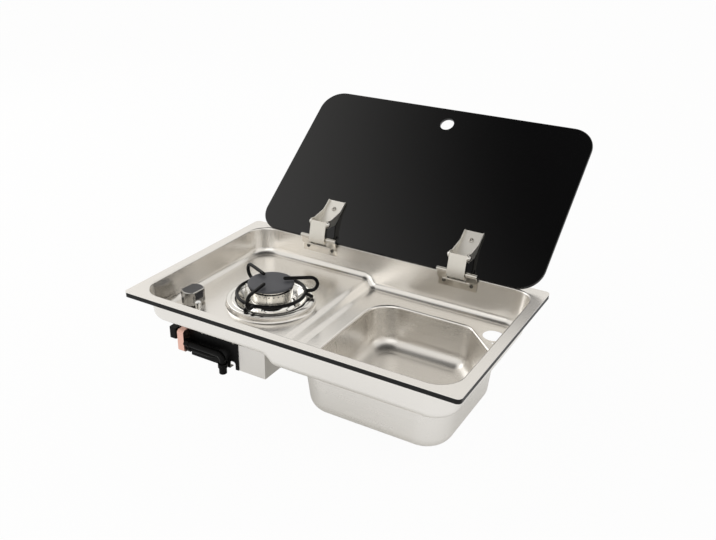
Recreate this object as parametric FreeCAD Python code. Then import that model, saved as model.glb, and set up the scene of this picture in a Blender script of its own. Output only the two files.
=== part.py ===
import FreeCAD, Part
import math
import os

V = FreeCAD.Vector

# Drop-in sink and gas hob under one glass lid, in millimetres, +Z up.
# The origin is the middle of the rim on the worktop plane, under the rim seal.
# +X is the sink side, +Y the hinge side.

# Pressed steel top
RIM_LENGTH = 600.0
RIM_WIDTH = 370.0
RIM_CORNER = 8.0
RIM_SIDE = 19.0
RIM_BAND = 17.0
RECESS_CORNER = 40.0
SHEET = 1.0
WALL_SLOPE = 0.09
SHOULDER_ROUND = 3.0
FOOT_ROUND = 13.0
STOVE_DEPTH = 50.0
DECK_DEPTH = 66.0
RAMP_FROM_BURNER = 93.0
RAMP_RUN = 13.0
RAMP_ROUND = 14.0
TAP_HOLE_R = 18.0
TAP_FROM_RIGHT = 41.0
TAP_FROM_BACK = 51.5
VENT_HOLE_R = 2.0
VENT_FROM_TAP = 25.0

# Rubber seal under the rim
SEAL_THICK = 8.0
SEAL_WIDTH = 11.0
SEAL_INSET = 0.5

# Sink bowl, welded to the neck of the deck opening
BOWL_DEPTH = 143.0
LEDGE_LEFT = 35.0
LEDGE_RIGHT = 12.0
LEDGE_FRONT = 15.0
LEDGE_BACK = 44.0
BOWL_CORNER = 45.0
BOWL_CUT = 75.0
BOWL_CUT_CORNER = 30.0
BOWL_FOOT = 26.0
NECK_DEPTH = 8.0
NECK_ROUND = 4.0

# Waste fitting
WASTE_FLANGE_R = 38.0
WASTE_FLANGE = 1.2
WASTE_NECK_R = 24.0
WASTE_WALL = 2.0
WASTE_DISH = 6.0
WASTE_NECK_LENGTH = 34.0
WASTE_HOLE_GAP = 1.5
WASTE_GASKET = 2.5
WASTE_NUT_R = 35.0
WASTE_NUT = 9.0
WASTE_BODY_R = 32.0
WASTE_BODY = 24.0
WASTE_TAIL_R = 14.0
WASTE_TAIL = 26.0
STRAINER_R = 20.5
STRAINER_DEPTH = 9.0
STRAINER_SHEET = 0.8
STRAINER_HOLE_R = 1.6

# Burner
BURNER_FROM_LEFT = 151.0
BURNER_FROM_FRONT = 158.0
BURNER_HOLE_R = 62.0
DRIP_R = 77.0
DRIP_TOP_R = 66.0
DRIP_HEIGHT = 12.0
DRIP_FLOOR_R = 48.0
DRIP_FLOOR_DROP = 4.0
DRIP_HOLE_R = 34.0
DRIP_SHEET = 0.8
CROWN_R = 35.0
CROWN_TOP_R = 39.0
CROWN_FLANGE_R = 43.0
CROWN_FLANGE = 4.0
CROWN_HEIGHT = 35.0
CROWN_WALL = 2.5
PORT_R = 1.3
PORT_COUNT = 30
CAP_R = 40.0
CAP_THICK = 5.0
BASE_FLANGE = 3.0
BASE_FLANGE_R = 44.0
BASE_CUP_R = 30.0
BASE_CUP_DEPTH = 44.0
BASE_WALL = 3.0
LUG_WIDTH = 14.0
VENTURI_R = 9.0
VENTURI_BORE_R = 7.0
VENTURI_DROP = 35.0
JET_FROM_GUARD = 40.0
JET_R = 5.0
JET_LENGTH = 14.0
PROBE_RING_R = 47.0
PROBE_TOP = 29.0
THERMOCOUPLE_AT = 15.0
ELECTRODE_AT = 195.0
THERMOCOUPLE_R = 1.6
CERAMIC_R = 2.8
SPARK_WIRE_R = 0.8

# Wire pan support
WIRE_R = 3.1
SUPPORT_RING_R = 60.0
FINGER_ANGLES = (36.0, 156.0, 276.0)
FINGER_BEND_AT = 67.0
FINGER_BEND_R = 15.0
FINGER_TIP_AT = 24.0
PEG_OFFSET = -9.0
PEG_REACH = 11.0

# Steel guard box below the stove floor and its black valve plate
GUARD_SHEET = 0.8
GUARD_GAP = 2.5
GUARD_TO_RAMP = 22.0
GUARD_BEHIND = 9.0
GUARD_BACK = 96.0
GUARD_DEPTH = 68.0
GUARD_FLANGE = 8.0
PLATE = 1.5
PLATE_INSET = 3.0
PLATE_RIGHT = 18.0
NOTCH_LEFT = 1.0
NOTCH_WIDTH = 11.0
NOTCH_HEIGHT = 14.0

# Gas tap, knob and pipes
KNOB_FROM_LEFT = 38.0
KNOB_FROM_FRONT = 86.0
KNOB_R = 20.0
KNOB_HEIGHT = 23.5
KNOB_LIFT = 3.6
KNOB_FLAT = 15.0
KNOB_FLAT_AT = -5.0
KNOB_HOLLOW_R = 12.5
KNOB_HOLLOW = 8.0
INLAY = 1.0
INLAY_SINK = 0.8
INLAY_BORDER = 2.2
SPINDLE_R = 4.0
SPINDLE_FLAT = 3.0
COLLAR_R = 8.2
COLLAR = 1.2
FLOOR_BORE_R = 7.0
BEZEL_R = 11.0
BEZEL = 1.5
VALVE_R = 15.0
VALVE_HEIGHT = 36.0
VALVE_BASE = 5.0
PLUG_R = 9.0
PLUG_HEIGHT = 18.0
VALVE_ARM_WIDTH = 14.0
VALVE_ARM_HEIGHT = 20.0
VALVE_ARM_DROP = 15.0
VALVE_ARM_REACH = 66.0
VALVE_ARM_SHIFT = 8.0
BLOCK_GAP = 2.0
BLOCK_SET = 1.0
BLOCK_LENGTH = 13.0
BLOCK_DEPTH = 16.0
BLOCK_HEIGHT = 40.0
BLOCK_CHAMFER = 3.0
BLOCK_TOP = 17.0
BOSS_R = 6.0
PIPE_R = 5.5
PIPE_DROP = 40.0
PIPE_FORWARD = 3.0
PIPE_LENGTH = 77.0
PIPE_BEND = 10.0
NOZZLE_R = 8.0
NOZZLE_BORE_R = 3.0
NOZZLE_LENGTH = 7.0
SPIGOT_R = 6.5
SPIGOT_LENGTH = 12.0
SPIGOT_CHAMFER = 0.8
FEED_R = 4.0
FEED_DROP = 51.0
FEED_FORWARD = 0.0
FEED_RUN = 55.0
FEED_BEND = 10.0
FEED_HOLE_GAP = 1.5
NUT_WALL = 1.5
NUT_LENGTH = 9.0

# Push igniter beside the knob
IGNITER_FROM_KNOB_X = 38.0
IGNITER_FROM_KNOB_Y = -31.0
IGNITER_NECK_R = 6.0
IGNITER_BODY_R = 7.5
IGNITER_BODY = 42.0
IGNITER_NUT_R = 10.0
IGNITER_NUT = 5.0
BUTTON_R = 5.0
BUTTON_TOP = 25.5
BUTTON_CAP = 12.0
BUTTON_STEM_R = 3.0
BUTTON_STEM = 22.0

# Glass lid and its two hinges
LID_LEAN = 51.6
LID_GLASS = 5.0
LID_SIDE_LAP = 3.0
LID_FRONT_LAP = 12.0
LID_CORNER = 44.0
LID_EDGE = 1.2
LID_HOLE_R = 13.5
LID_HOLE_FROM_EDGE = 36.0
HINGE_APART = 282.0
PIN_FROM_WALL = 9.0
PIN_ABOVE_RIM = 7.0
PIN_R = 2.0
PIN_TO_GLASS = 4.6
PIN_END = 1.6
KNUCKLE_R = 4.2
KNUCKLE = 18.5
ARM_WIDTH = 33.0
ARM_SHEET = 1.5
ARM_FRONT = 7.25
ARM_TAIL = 8.0
ARM_TOP = 6.0
ARM_LEAN = 12.6
RIVET_UP = 21.7
RIVET_OUT = 24.9
RIVET_R = 2.0
RIVET_HEAD_R = 5.0
RIVET_HEAD = 4.0
BRACKET_SHEET = 1.5
BRACKET_FOOT = 36.0
BRACKET_LENGTH = 50.0
BRACKET_FLARE = 26.0
BRACKET_SCREW = 68.0
PAD = 1.0
LID_SCREW_R = 2.5
LID_SCREW_HEAD_R = 4.6
LID_CAP_R = 8.0
LID_CAP = 4.0
HINGE_PLATE = 1.5
HINGE_PLATE_DROP = 18.0
SHELF_BELOW_PIN = 13.5
SHELF_BEAD_R = 1.8
SHELF_BEAD_DROP = 15.3
SHELF_BEAD_OUT = 9.0
POST_FRONT = 0.2
HINGE_SCREW_X = 26.0
HINGE_SCREW_DROP = 9.0

# Clearances and small fasteners
RUNNING = 0.06
SNUG = 0.02
SIDE_GAP = 0.3
HINGE_SIDE_GAP = 1.2
WALL_GAP = 0.05
SCREW_R = 2.0
SCREW_HEAD_R = 3.5
SCREW_HEAD = 2.2
SCREW_LENGTH = 6.0
SCREW_HOLE_R = 2.1
SHARP = 0.35

# Heights and places that follow from the sizes above
rim_top = SEAL_THICK + SHEET
stove_z = rim_top - STOVE_DEPTH
stove_under = stove_z - SHEET
deck_z = rim_top - DECK_DEPTH
bowl_z = rim_top - BOWL_DEPTH
seam_z = deck_z - NECK_DEPTH
recess_left = RIM_SIDE - RIM_LENGTH / 2
recess_front = RIM_BAND - RIM_WIDTH / 2
burner = V(recess_left + BURNER_FROM_LEFT, recess_front + BURNER_FROM_FRONT, stove_z)
ramp_top_x = burner.x + RAMP_FROM_BURNER
ramp_foot_x = ramp_top_x + RAMP_RUN
deck_right = -recess_left - WALL_SLOPE * DECK_DEPTH
deck_back = -recess_front - WALL_SLOPE * DECK_DEPTH
bowl_left = ramp_foot_x + LEDGE_LEFT
bowl_right = deck_right - LEDGE_RIGHT
bowl_front = -deck_back + LEDGE_FRONT
bowl_back = deck_back - LEDGE_BACK
waste = V((bowl_left + bowl_right) / 2, (bowl_front + bowl_back) / 2, bowl_z)
tap = V(deck_right - TAP_FROM_RIGHT, deck_back - TAP_FROM_BACK, deck_z)
knob = V(recess_left + KNOB_FROM_LEFT, recess_front + KNOB_FROM_FRONT, stove_z)
igniter = knob + V(IGNITER_FROM_KNOB_X, IGNITER_FROM_KNOB_Y, 0)
drip_floor_z = stove_z - DRIP_FLOOR_DROP
base_top_z = drip_floor_z - DRIP_SHEET
venturi_z = stove_z - VENTURI_DROP
lug_screw_at = (BURNER_HOLE_R + DRIP_R) / 2
lug_reach = lug_screw_at + LUG_WIDTH / 2
guard_low = stove_under - GUARD_DEPTH
cap_z = stove_z + CROWN_HEIGHT
ring_z = stove_z + DRIP_HEIGHT + WIRE_R
pin_y = -recess_front - PIN_FROM_WALL
pin_z = rim_top + PIN_ABOVE_RIM
lean = math.radians(LID_LEAN)
lid_foot = V(0, pin_y + PIN_TO_GLASS * math.cos(lean), pin_z - PIN_TO_GLASS * math.sin(lean))
lid_width = pin_y - recess_front + LID_FRONT_LAP
hinge_sides = {"left": -HINGE_APART / 2, "right": HINGE_APART / 2}
arm_half = ARM_WIDTH / 2
cheek_in = arm_half + SIDE_GAP
cheek_out = cheek_in + BRACKET_SHEET
knuckle_in = arm_half + HINGE_SIDE_GAP
knuckle_out = knuckle_in + KNUCKLE
valve_front_y = knob.y - VALVE_ARM_REACH
arm_x = knob.x + VALVE_ARM_SHIFT
block_left = arm_x + VALVE_ARM_WIDTH / 2 + BLOCK_GAP
block_right = block_left + BLOCK_LENGTH
block_y = valve_front_y + BLOCK_DEPTH / 2 + BLOCK_SET
guard_front_y = block_y + GUARD_BEHIND
guard_left_x = igniter.x + IGNITER_BODY_R + GUARD_GAP
guard_right_x = ramp_top_x - GUARD_TO_RAMP
jet_y = guard_front_y + JET_FROM_GUARD
bracket_top = BRACKET_FOOT + BRACKET_LENGTH


def corner(point, before, after, radius):
    """Start, middle and end of the arc that rounds one corner, tangent to both runs."""
    to_before = (before - point).normalize()
    to_after = (after - point).normalize()
    half = to_before.getAngle(to_after) / 2
    inward = (to_before + to_after).normalize()
    centre = point + inward * (radius / math.sin(half))
    run = radius / math.tan(half)
    return point + to_before * run, centre - inward * radius, point + to_after * run


def rounded_edges(points, radii, closed):
    """Straight edges through the points, with an arc at each corner that has a radius."""
    count = len(points)
    corners = []
    for i, point in enumerate(points):
        at_end = not closed and i in (0, count - 1)
        if at_end or radii[i] == 0:
            corners.append((point, None, point))
        else:
            corners.append(corner(point, points[i - 1], points[(i + 1) % count], radii[i]))
    edges = []
    for i, (start, middle, end) in enumerate(corners):
        if middle is not None:
            edges.append(Part.Arc(start, middle, end).toShape())
        if closed or i < count - 1:
            edges.append(Part.LineSegment(end, corners[(i + 1) % count][0]).toShape())
    return edges


def plate(points, radii, thick):
    """Flat plate with a rounded outline, pulled along the vector thick."""
    return Part.Face(Part.Wire(rounded_edges(points, radii, True))).extrude(thick)


def rectangle(x0, y0, x1, y1):
    """Corners of a rectangle, anticlockwise."""
    return [(x0, y0), (x1, y0), (x1, y1), (x0, y1)]


def flat(points, z):
    """Plan points lifted to the height z."""
    return [V(x, y, z) for x, y in points]


def block(x0, y0, z0, x1, y1, z1):
    """Box between two corners."""
    return Part.makeBox(x1 - x0, y1 - y0, z1 - z0, V(x0, y0, z0))


def rod(radius, start, end):
    """Round bar between two points."""
    return Part.makeCylinder(radius, (end - start).Length, start, end - start)


def turned(profile, axis_at):
    """Solid turned about the vertical through axis_at, from points of radius and height."""
    points = [V(axis_at.x + r, axis_at.y, z) for r, z in profile]
    face = Part.Face(Part.makePolygon(points + points[:1]))
    return face.revolve(V(axis_at.x, axis_at.y, 0), V(0, 0, 1), 360)


def tube(points, bend, radius):
    """Round bar along a bent path: straight runs joined by arcs of one bend radius."""
    radii = [bend] * len(points)
    path = Part.Wire(rounded_edges(points, radii, False))
    circle = Part.Wire(Part.makeCircle(radius, points[0], points[1] - points[0]))
    return path.makePipeShell([circle], True, False)


def around(centre, radius, degrees, z):
    """Point on a circle about a vertical axis."""
    angle = math.radians(degrees)
    return V(centre.x + radius * math.cos(angle), centre.y + radius * math.sin(angle), z)


def hexagon(radius, start, end, first):
    """Six-sided bar between two points, with one corner towards the vector first."""
    along = end - start
    arm = FreeCAD.Vector(first).normalize() * radius
    turn = FreeCAD.Rotation(along, 60)
    points = [start + arm]
    for _ in range(5):
        arm = turn.multVec(arm)
        points.append(start + arm)
    return plate(points, [0] * 6, along)


def screw(head_at, inward, head_r, head, shank_r, shank):
    """Pan-head screw: its head stands out of the surface at head_at, its shank goes inward."""
    into = FreeCAD.Vector(inward).normalize()
    body = rod(shank_r, head_at, head_at + into * shank)
    return body.fuse(rod(head_r, head_at - into * head, head_at)).removeSplitter()


def inset(points, distance):
    """Anticlockwise outline with every side moved inward by one distance."""
    sides = []
    for i, (x0, y0) in enumerate(points):
        x1, y1 = points[(i + 1) % len(points)]
        length = math.hypot(x1 - x0, y1 - y0)
        across = V(-(y1 - y0) / length, (x1 - x0) / length, 0)
        sides.append((V(x0, y0, 0) + across * distance, V(x1 - x0, y1 - y0, 0)))
    moved = []
    for i, (start, run) in enumerate(sides):
        before, before_run = sides[i - 1]
        share = (start - before).cross(run).z / before_run.cross(run).z
        meet = before + before_run * share
        moved.append((meet.x, meet.y))
    return moved


def drafted(points, z_top, z_low):
    """Flat-sided space whose walls lean in by WALL_SLOPE on the way down."""
    top = flat(points, z_top)
    low = flat(inset(points, WALL_SLOPE * (z_top - z_low)), z_low)
    faces = [Part.Face(Part.makePolygon(loop + loop[:1])) for loop in (top, low)]
    for i in range(len(top)):
        j = (i + 1) % len(top)
        faces.append(Part.Face(Part.makePolygon([top[i], top[j], low[j], low[i], top[i]])))
    solid = Part.Solid(Part.Shell(faces))
    if solid.Volume < 0:
        solid.reverse()
    return solid


def middle(edge):
    """Point half-way along an edge."""
    return edge.valueAt((edge.FirstParameter + edge.LastParameter) / 2)


def round_corners(solid, radii, points, z_top):
    """Round the leaning corner edges, each with the radius given for its plan point."""
    for (x, y), radius in zip(points, radii):
        foot = V(x, y, z_top)
        edges = [e for e in solid.Edges if leaning(e) and upper_end(e).distanceToPoint(foot) < SHEET]
        solid = solid.makeFillet(radius, edges)
    return solid


def upper_end(edge):
    """Higher end point of an edge."""
    return max(edge.Vertexes, key=lambda vertex: vertex.Z).Point


def leaning(edge):
    """True for a straight edge that runs from the top of a drafted space to its foot."""
    ends = edge.Vertexes
    straight = edge.Curve.TypeId == "Part::GeomLine"
    return straight and abs(ends[0].Z - ends[1].Z) > SHEET


def sharp_edges(solid, wanted):
    """Edges whose two faces meet at a clear angle and whose middle passes the test."""
    found = []
    for edge in solid.Edges:
        point = middle(edge)
        faces = solid.ancestorsOfType(edge, Part.Face)
        if len(faces) != 2 or not wanted(point):
            continue
        normals = [face.normalAt(*face.Surface.parameter(point)) for face in faces]
        if normals[0].getAngle(normals[1]) > SHARP:
            found.append(edge)
    return found


def recess_outline():
    """Plan of the recess at the rim."""
    return rectangle(recess_left, recess_front, -recess_left, -recess_front)


def bowl_outline():
    """Plan of the bowl at the deck, with its back right corner cut off beside the tap."""
    return [
        (bowl_left, bowl_front),
        (bowl_right, bowl_front),
        (bowl_right, bowl_back - BOWL_CUT),
        (bowl_right - BOWL_CUT, bowl_back),
        (bowl_left, bowl_back),
    ]


def recess_space():
    """Air inside the recess: leaning walls over a stove floor that ramps down to the sink deck."""
    below = deck_z - FOOT_ROUND
    space = drafted(recess_outline(), rim_top, below)
    space = round_corners(space, [RECESS_CORNER] * 4, recess_outline(), rim_top)
    far = RIM_LENGTH
    profile = [
        V(-far, -far, stove_z),
        V(ramp_top_x, -far, stove_z),
        V(ramp_foot_x, -far, deck_z),
        V(far, -far, deck_z),
        V(far, -far, below - FOOT_ROUND),
        V(-far, -far, below - FOOT_ROUND),
    ]
    ground = plate(profile, [0, RAMP_ROUND, RAMP_ROUND, 0, 0, 0], V(0, 2 * far, 0))
    space = space.cut(ground)
    foot = sharp_edges(space, lambda p: p.z < rim_top - SHEET)
    return space.makeFillet(FOOT_ROUND, foot)


def bowl_space(grow=0.0):
    """Bowl from the deck down, with a rounded foot: its air, or that grown by a wall on every side."""
    outline = inset(bowl_outline(), -grow * math.hypot(1, WALL_SLOPE))
    floor = bowl_z - grow
    space = drafted(outline, deck_z, floor)
    radii = [BOWL_CORNER, BOWL_CORNER, BOWL_CUT_CORNER, BOWL_CUT_CORNER, BOWL_CORNER]
    space = round_corners(space, [radius + grow for radius in radii], outline, deck_z)
    foot = sharp_edges(space, lambda p: p.z < floor + SHEET / 2)
    return space.makeFillet(BOWL_FOOT + grow, foot)


def above(z):
    """Large block of everything above a height."""
    far = RIM_LENGTH
    return block(-far, -far, z, far, far, z + far)


def top_deck():
    """One pressed sheet: rim, recess, stove floor, ramp, deck and the drawn neck of the sink."""
    rim = flat(rectangle(-RIM_LENGTH / 2, -RIM_WIDTH / 2, RIM_LENGTH / 2, RIM_WIDTH / 2), rim_top)
    over = plate(rim, [RIM_CORNER] * 4, V(0, 0, FOOT_ROUND))
    neck = bowl_space().common(above(seam_z))
    space = recess_space().fuse([over, neck]).removeSplitter()

    def on_shoulder(p):
        inside = abs(p.x) < -recess_left + SHEET and abs(p.y) < -recess_front + SHEET
        return abs(p.z - rim_top) < SNUG and inside

    def on_neck(p):
        return abs(p.z - deck_z) < SNUG and p.x > ramp_foot_x

    space = space.makeFillet(SHOULDER_ROUND, sharp_edges(space, on_shoulder))
    space = space.makeFillet(NECK_ROUND, sharp_edges(space, on_neck))
    open_faces = []
    for face in space.Faces:
        centre = face.CenterOfMass
        if centre.z > rim_top + SHEET or abs(centre.z - seam_z) < SNUG:
            open_faces.append(face)
    sheet = space.makeThickness(open_faces, SHEET, SNUG / 10)
    drill = V(0, 0, 2 * SHEET)
    round_holes = [
        (burner, BURNER_HOLE_R),
        (knob, FLOOR_BORE_R),
        (igniter, IGNITER_NECK_R + SIDE_GAP),
        (tap, TAP_HOLE_R),
        (vent_place(), VENT_HOLE_R),
    ]
    for place in lug_screw_places():
        round_holes.append((place, SCREW_HOLE_R))
    holes = [rod(radius, place - drill, place + drill) for place, radius in round_holes]
    for place in hinge_screw_places():
        holes.append(rod(SCREW_HOLE_R, place, place + wall_inward() * (SCREW_LENGTH + SHEET)))
    return sheet.cut(holes)


def vent_place():
    """Small hole between the tap hole and the cut corner of the bowl."""
    towards = V(1, -3, 0).normalize()
    return tap + towards * VENT_FROM_TAP


def rim_seal():
    """Black rubber strip between the rim and the worktop."""
    outer = rectangle(-RIM_LENGTH / 2, -RIM_WIDTH / 2, RIM_LENGTH / 2, RIM_WIDTH / 2)
    outer = inset(outer, SEAL_INSET)
    inner = inset(outer, SEAL_WIDTH)
    up = V(0, 0, SEAL_THICK)
    outer_r = RIM_CORNER - SEAL_INSET
    inner_r = max(outer_r - SEAL_WIDTH, SHEET)
    return plate(flat(outer, 0), [outer_r] * 4, up).cut(plate(flat(inner, 0), [inner_r] * 4, up))


def sink_bowl():
    """Deep-drawn bowl, butt-welded below the neck, with its waste hole."""
    bowl = bowl_space(SHEET).cut(above(seam_z)).cut(bowl_space())
    drill = V(0, 0, 2 * SHEET)
    return bowl.cut(rod(WASTE_NECK_R + WASTE_HOLE_GAP, waste - drill, waste + drill))


def drain_flange():
    """Steel waste ring with a dished mouth and a neck below the bowl."""
    low = bowl_z - WASTE_NECK_LENGTH
    bore = WASTE_NECK_R - WASTE_WALL
    profile = [
        (WASTE_NECK_R, bowl_z),
        (WASTE_FLANGE_R, bowl_z),
        (WASTE_FLANGE_R, bowl_z + WASTE_FLANGE / 2),
        (WASTE_FLANGE_R - WASTE_FLANGE, bowl_z + WASTE_FLANGE),
        (WASTE_NECK_R - WASTE_FLANGE / 2, bowl_z + WASTE_FLANGE),
        (bore, bowl_z - WASTE_DISH),
        (bore, low),
        (WASTE_NECK_R, low),
    ]
    return turned(profile, waste)


def ring(centre, inner, outer, z_low, z_top):
    """Plain ring about a vertical axis."""
    return turned([(inner, z_low), (outer, z_low), (outer, z_top), (inner, z_top)], centre)


def drain_gasket():
    """Rubber ring between the bowl and the waste nut."""
    top = bowl_z - SHEET
    return ring(waste, WASTE_NECK_R + SIDE_GAP, WASTE_NUT_R - SHEET, top - WASTE_GASKET, top)


def drain_nut():
    """Ribbed plastic back nut on the waste neck."""
    top = bowl_z - SHEET - WASTE_GASKET
    nut = ring(waste, WASTE_NECK_R + SNUG, WASTE_NUT_R, top - WASTE_NUT, top)
    ribs = 12
    for i in range(ribs):
        at = around(waste, WASTE_NUT_R, i * 360 / ribs, top - WASTE_NUT)
        nut = nut.cut(rod(WASTE_FLANGE * 2, at, at + V(0, 0, WASTE_NUT)))
    return nut


def drain_body():
    """Plastic waste body screwed on the neck, narrowing to the hose tail."""
    top = bowl_z - SHEET - WASTE_GASKET - WASTE_NUT
    neck = WASTE_NECK_R + SNUG
    floor = top - WASTE_BODY
    end = floor - WASTE_TAIL
    bore = WASTE_TAIL_R - WASTE_WALL
    profile = [
        (neck, top),
        (WASTE_BODY_R, top),
        (WASTE_BODY_R - WASTE_WALL, floor + WASTE_WALL),
        (WASTE_TAIL_R + WASTE_WALL, floor),
        (WASTE_TAIL_R, floor - WASTE_WALL),
        (WASTE_TAIL_R, end),
        (bore, end),
        (bore, floor + WASTE_WALL),
        (neck - WASTE_WALL, bowl_z - WASTE_NECK_LENGTH),
        (neck, bowl_z - WASTE_NECK_LENGTH),
    ]
    return turned(profile, waste)


def drain_strainer():
    """Perforated steel strainer cup with a lift knob, resting in the dished mouth."""
    top = bowl_z + WASTE_FLANGE + SIDE_GAP
    low = top - STRAINER_DEPTH
    rest_r = WASTE_NECK_R + WASTE_FLANGE + 2 * WASTE_WALL
    sheet = STRAINER_SHEET
    profile = [
        (0, low),
        (STRAINER_R - WASTE_WALL, low),
        (STRAINER_R, top),
        (rest_r, top),
        (rest_r, top + sheet),
        (STRAINER_R - sheet, top + sheet),
        (STRAINER_R - WASTE_WALL - sheet, low + sheet),
        (0, low + sheet),
    ]
    cup = turned(profile, waste)
    holes = []
    for reach, count in ((8.0, 6), (13.5, 12)):
        for i in range(count):
            at = around(waste, reach, i * 360 / count, low - sheet)
            holes.append(rod(STRAINER_HOLE_R, at, at + V(0, 0, 3 * sheet)))
    cup = cup.cut(holes)
    stem = WASTE_WALL
    handle = [
        (0, low),
        (stem, low),
        (stem, top + sheet),
        (3 * stem, top + 2 * stem),
        (3 * stem, top + 3 * stem),
        (0, top + 3 * stem),
    ]
    return cup.fuse(turned(handle, waste)).removeSplitter()


def drip_ring():
    """Polished steel drip ring: a raised bead on the stove floor that dips to the burner."""
    sheet = DRIP_SHEET
    top = stove_z + DRIP_HEIGHT
    bead = DRIP_R - 2 * sheet
    profile = [
        (DRIP_R, stove_z),
        (DRIP_R, top - 2 * sheet),
        (bead, top),
        (DRIP_TOP_R, top),
        (DRIP_FLOOR_R, drip_floor_z),
        (DRIP_HOLE_R, drip_floor_z),
        (DRIP_HOLE_R, drip_floor_z - sheet),
        (DRIP_FLOOR_R + sheet / 2, drip_floor_z - sheet),
        (DRIP_TOP_R + sheet / 2, top - sheet),
        (bead - sheet / 2, top - sheet),
        (DRIP_R - sheet, top - 2 * sheet - sheet / 2),
        (DRIP_R - sheet, stove_z),
    ]
    dish = turned(profile, burner)
    drill = V(0, 0, 2 * sheet)
    for at, radius in probe_places():
        dish = dish.cut(rod(radius + SIDE_GAP, at - drill, at + drill))
    return dish


def probe_places():
    """Places and radii of the two probes beside the crown, at the drip floor."""
    return [
        (around(burner, PROBE_RING_R, THERMOCOUPLE_AT, drip_floor_z), THERMOCOUPLE_R),
        (around(burner, PROBE_RING_R, ELECTRODE_AT, drip_floor_z), CERAMIC_R),
    ]


def lug_screw_places():
    """Two screws of the burner base, in the stove floor under the drip bead."""
    return [V(burner.x, burner.y + side * lug_screw_at, stove_z) for side in (-1, 1)]


def burner_base():
    """Cast mixing cup with a flange, two fixing lugs, two probe ears and the venturi tube."""
    cup_low = base_top_z - BASE_CUP_DEPTH
    bore = BASE_CUP_R - BASE_WALL
    profile = [
        (0, cup_low),
        (BASE_CUP_R, cup_low),
        (BASE_CUP_R, base_top_z - BASE_FLANGE),
        (BASE_FLANGE_R, base_top_z - BASE_FLANGE),
        (BASE_FLANGE_R, base_top_z),
        (bore, base_top_z),
        (bore, cup_low + BASE_WALL),
        (0, cup_low + BASE_WALL),
    ]
    base = turned(profile, burner)
    arm_low = base_top_z - BASE_FLANGE
    half = LUG_WIDTH / 2
    pad_in = BURNER_HOLE_R + SIDE_GAP
    for side in (-1, 1):
        inner = burner.y + side * bore
        seat = burner.y + side * pad_in
        tip = burner.y + side * lug_reach
        y0, y1 = sorted((inner + side * BASE_WALL, tip))
        base = base.fuse(block(burner.x - half, y0, arm_low, burner.x + half, y1, base_top_z))
        y0, y1 = sorted((seat, tip))
        base = base.fuse(block(burner.x - half, y0, arm_low, burner.x + half, y1, stove_under))
    for at, radius in probe_places():
        ear = rod(radius + BASE_FLANGE, V(at.x, at.y, arm_low), V(at.x, at.y, base_top_z))
        base = base.fuse(ear)
    wall_y = burner.y - bore - SHEET
    base = base.fuse(rod(VENTURI_R, V(burner.x, wall_y, venturi_z), V(burner.x, jet_y, venturi_z)))
    base = base.removeSplitter()
    inside = V(burner.x, burner.y - bore + BASE_WALL, venturi_z)
    stop = V(burner.x, jet_y + BASE_WALL, venturi_z)
    base = base.cut(rod(VENTURI_BORE_R, stop, inside))
    base = base.cut(rod(JET_R + SNUG, V(burner.x, jet_y - BASE_WALL, venturi_z), stop))
    window = VENTURI_R + SHEET
    air_from = jet_y + 2 * BASE_WALL
    half_slot = VENTURI_BORE_R * 0.6
    slot = block(burner.x - window, air_from, venturi_z - half_slot, burner.x + window,
                 air_from + 3 * BASE_WALL, venturi_z + half_slot)
    base = base.cut(slot)
    for at, radius in probe_places():
        base = base.cut(rod(radius + SNUG, V(at.x, at.y, arm_low - SHEET), V(at.x, at.y, stove_z)))
    for at in lug_screw_places():
        base = base.cut(rod(SCREW_R + SNUG, V(at.x, at.y, arm_low - SHEET), at))
    return base


def burner_base_screws():
    """Two screws through the stove floor into the lugs of the burner base."""
    down = V(0, 0, -1)
    screws = [screw(at, down, SCREW_HEAD_R, SCREW_HEAD, SCREW_R, SCREW_LENGTH) for at in lug_screw_places()]
    return Part.makeCompound(screws)


def injector():
    """Brass gas jet in the end of the venturi."""
    tail = V(burner.x, jet_y - JET_LENGTH / 2, venturi_z)
    seat = V(burner.x, jet_y, venturi_z)
    tip = V(burner.x, jet_y + JET_LENGTH / 2, venturi_z)
    jet = rod(JET_R, seat, V(burner.x, jet_y + BASE_WALL, venturi_z))
    jet = jet.fuse(rod(JET_R - SHEET, seat, tip))
    jet = jet.fuse(hexagon(JET_R + 2 * SHEET, tail, seat, V(0, 0, 1))).removeSplitter()
    return jet.cut(rod(SHEET / 2, tail - V(0, SHEET, 0), tip + V(0, SHEET, 0)))


def burner_crown():
    """Polished burner crown with a ring of flame ports and a foot on the drip ring."""
    low = drip_floor_z
    foot = low + CROWN_FLANGE
    inner = CROWN_R - CROWN_WALL
    profile = [
        (inner - CROWN_WALL, low),
        (CROWN_FLANGE_R, low),
        (CROWN_FLANGE_R, low + CROWN_FLANGE / 2),
        (CROWN_R + CROWN_WALL, foot),
        (CROWN_R, foot + CROWN_FLANGE),
        (CROWN_TOP_R, cap_z - CROWN_FLANGE),
        (CROWN_TOP_R, cap_z),
        (inner, cap_z),
        (inner, foot),
        (inner - CROWN_WALL, foot),
    ]
    crown = turned(profile, burner)
    port_z = cap_z - 2 * CROWN_FLANGE
    ports = []
    for i in range(PORT_COUNT):
        degrees = i * 360 / PORT_COUNT
        inside = around(burner, inner - CROWN_WALL, degrees, port_z)
        outside = around(burner, CROWN_TOP_R + CROWN_WALL, degrees, port_z)
        ports.append(rod(PORT_R, inside, outside))
    return crown.cut(ports)


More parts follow.
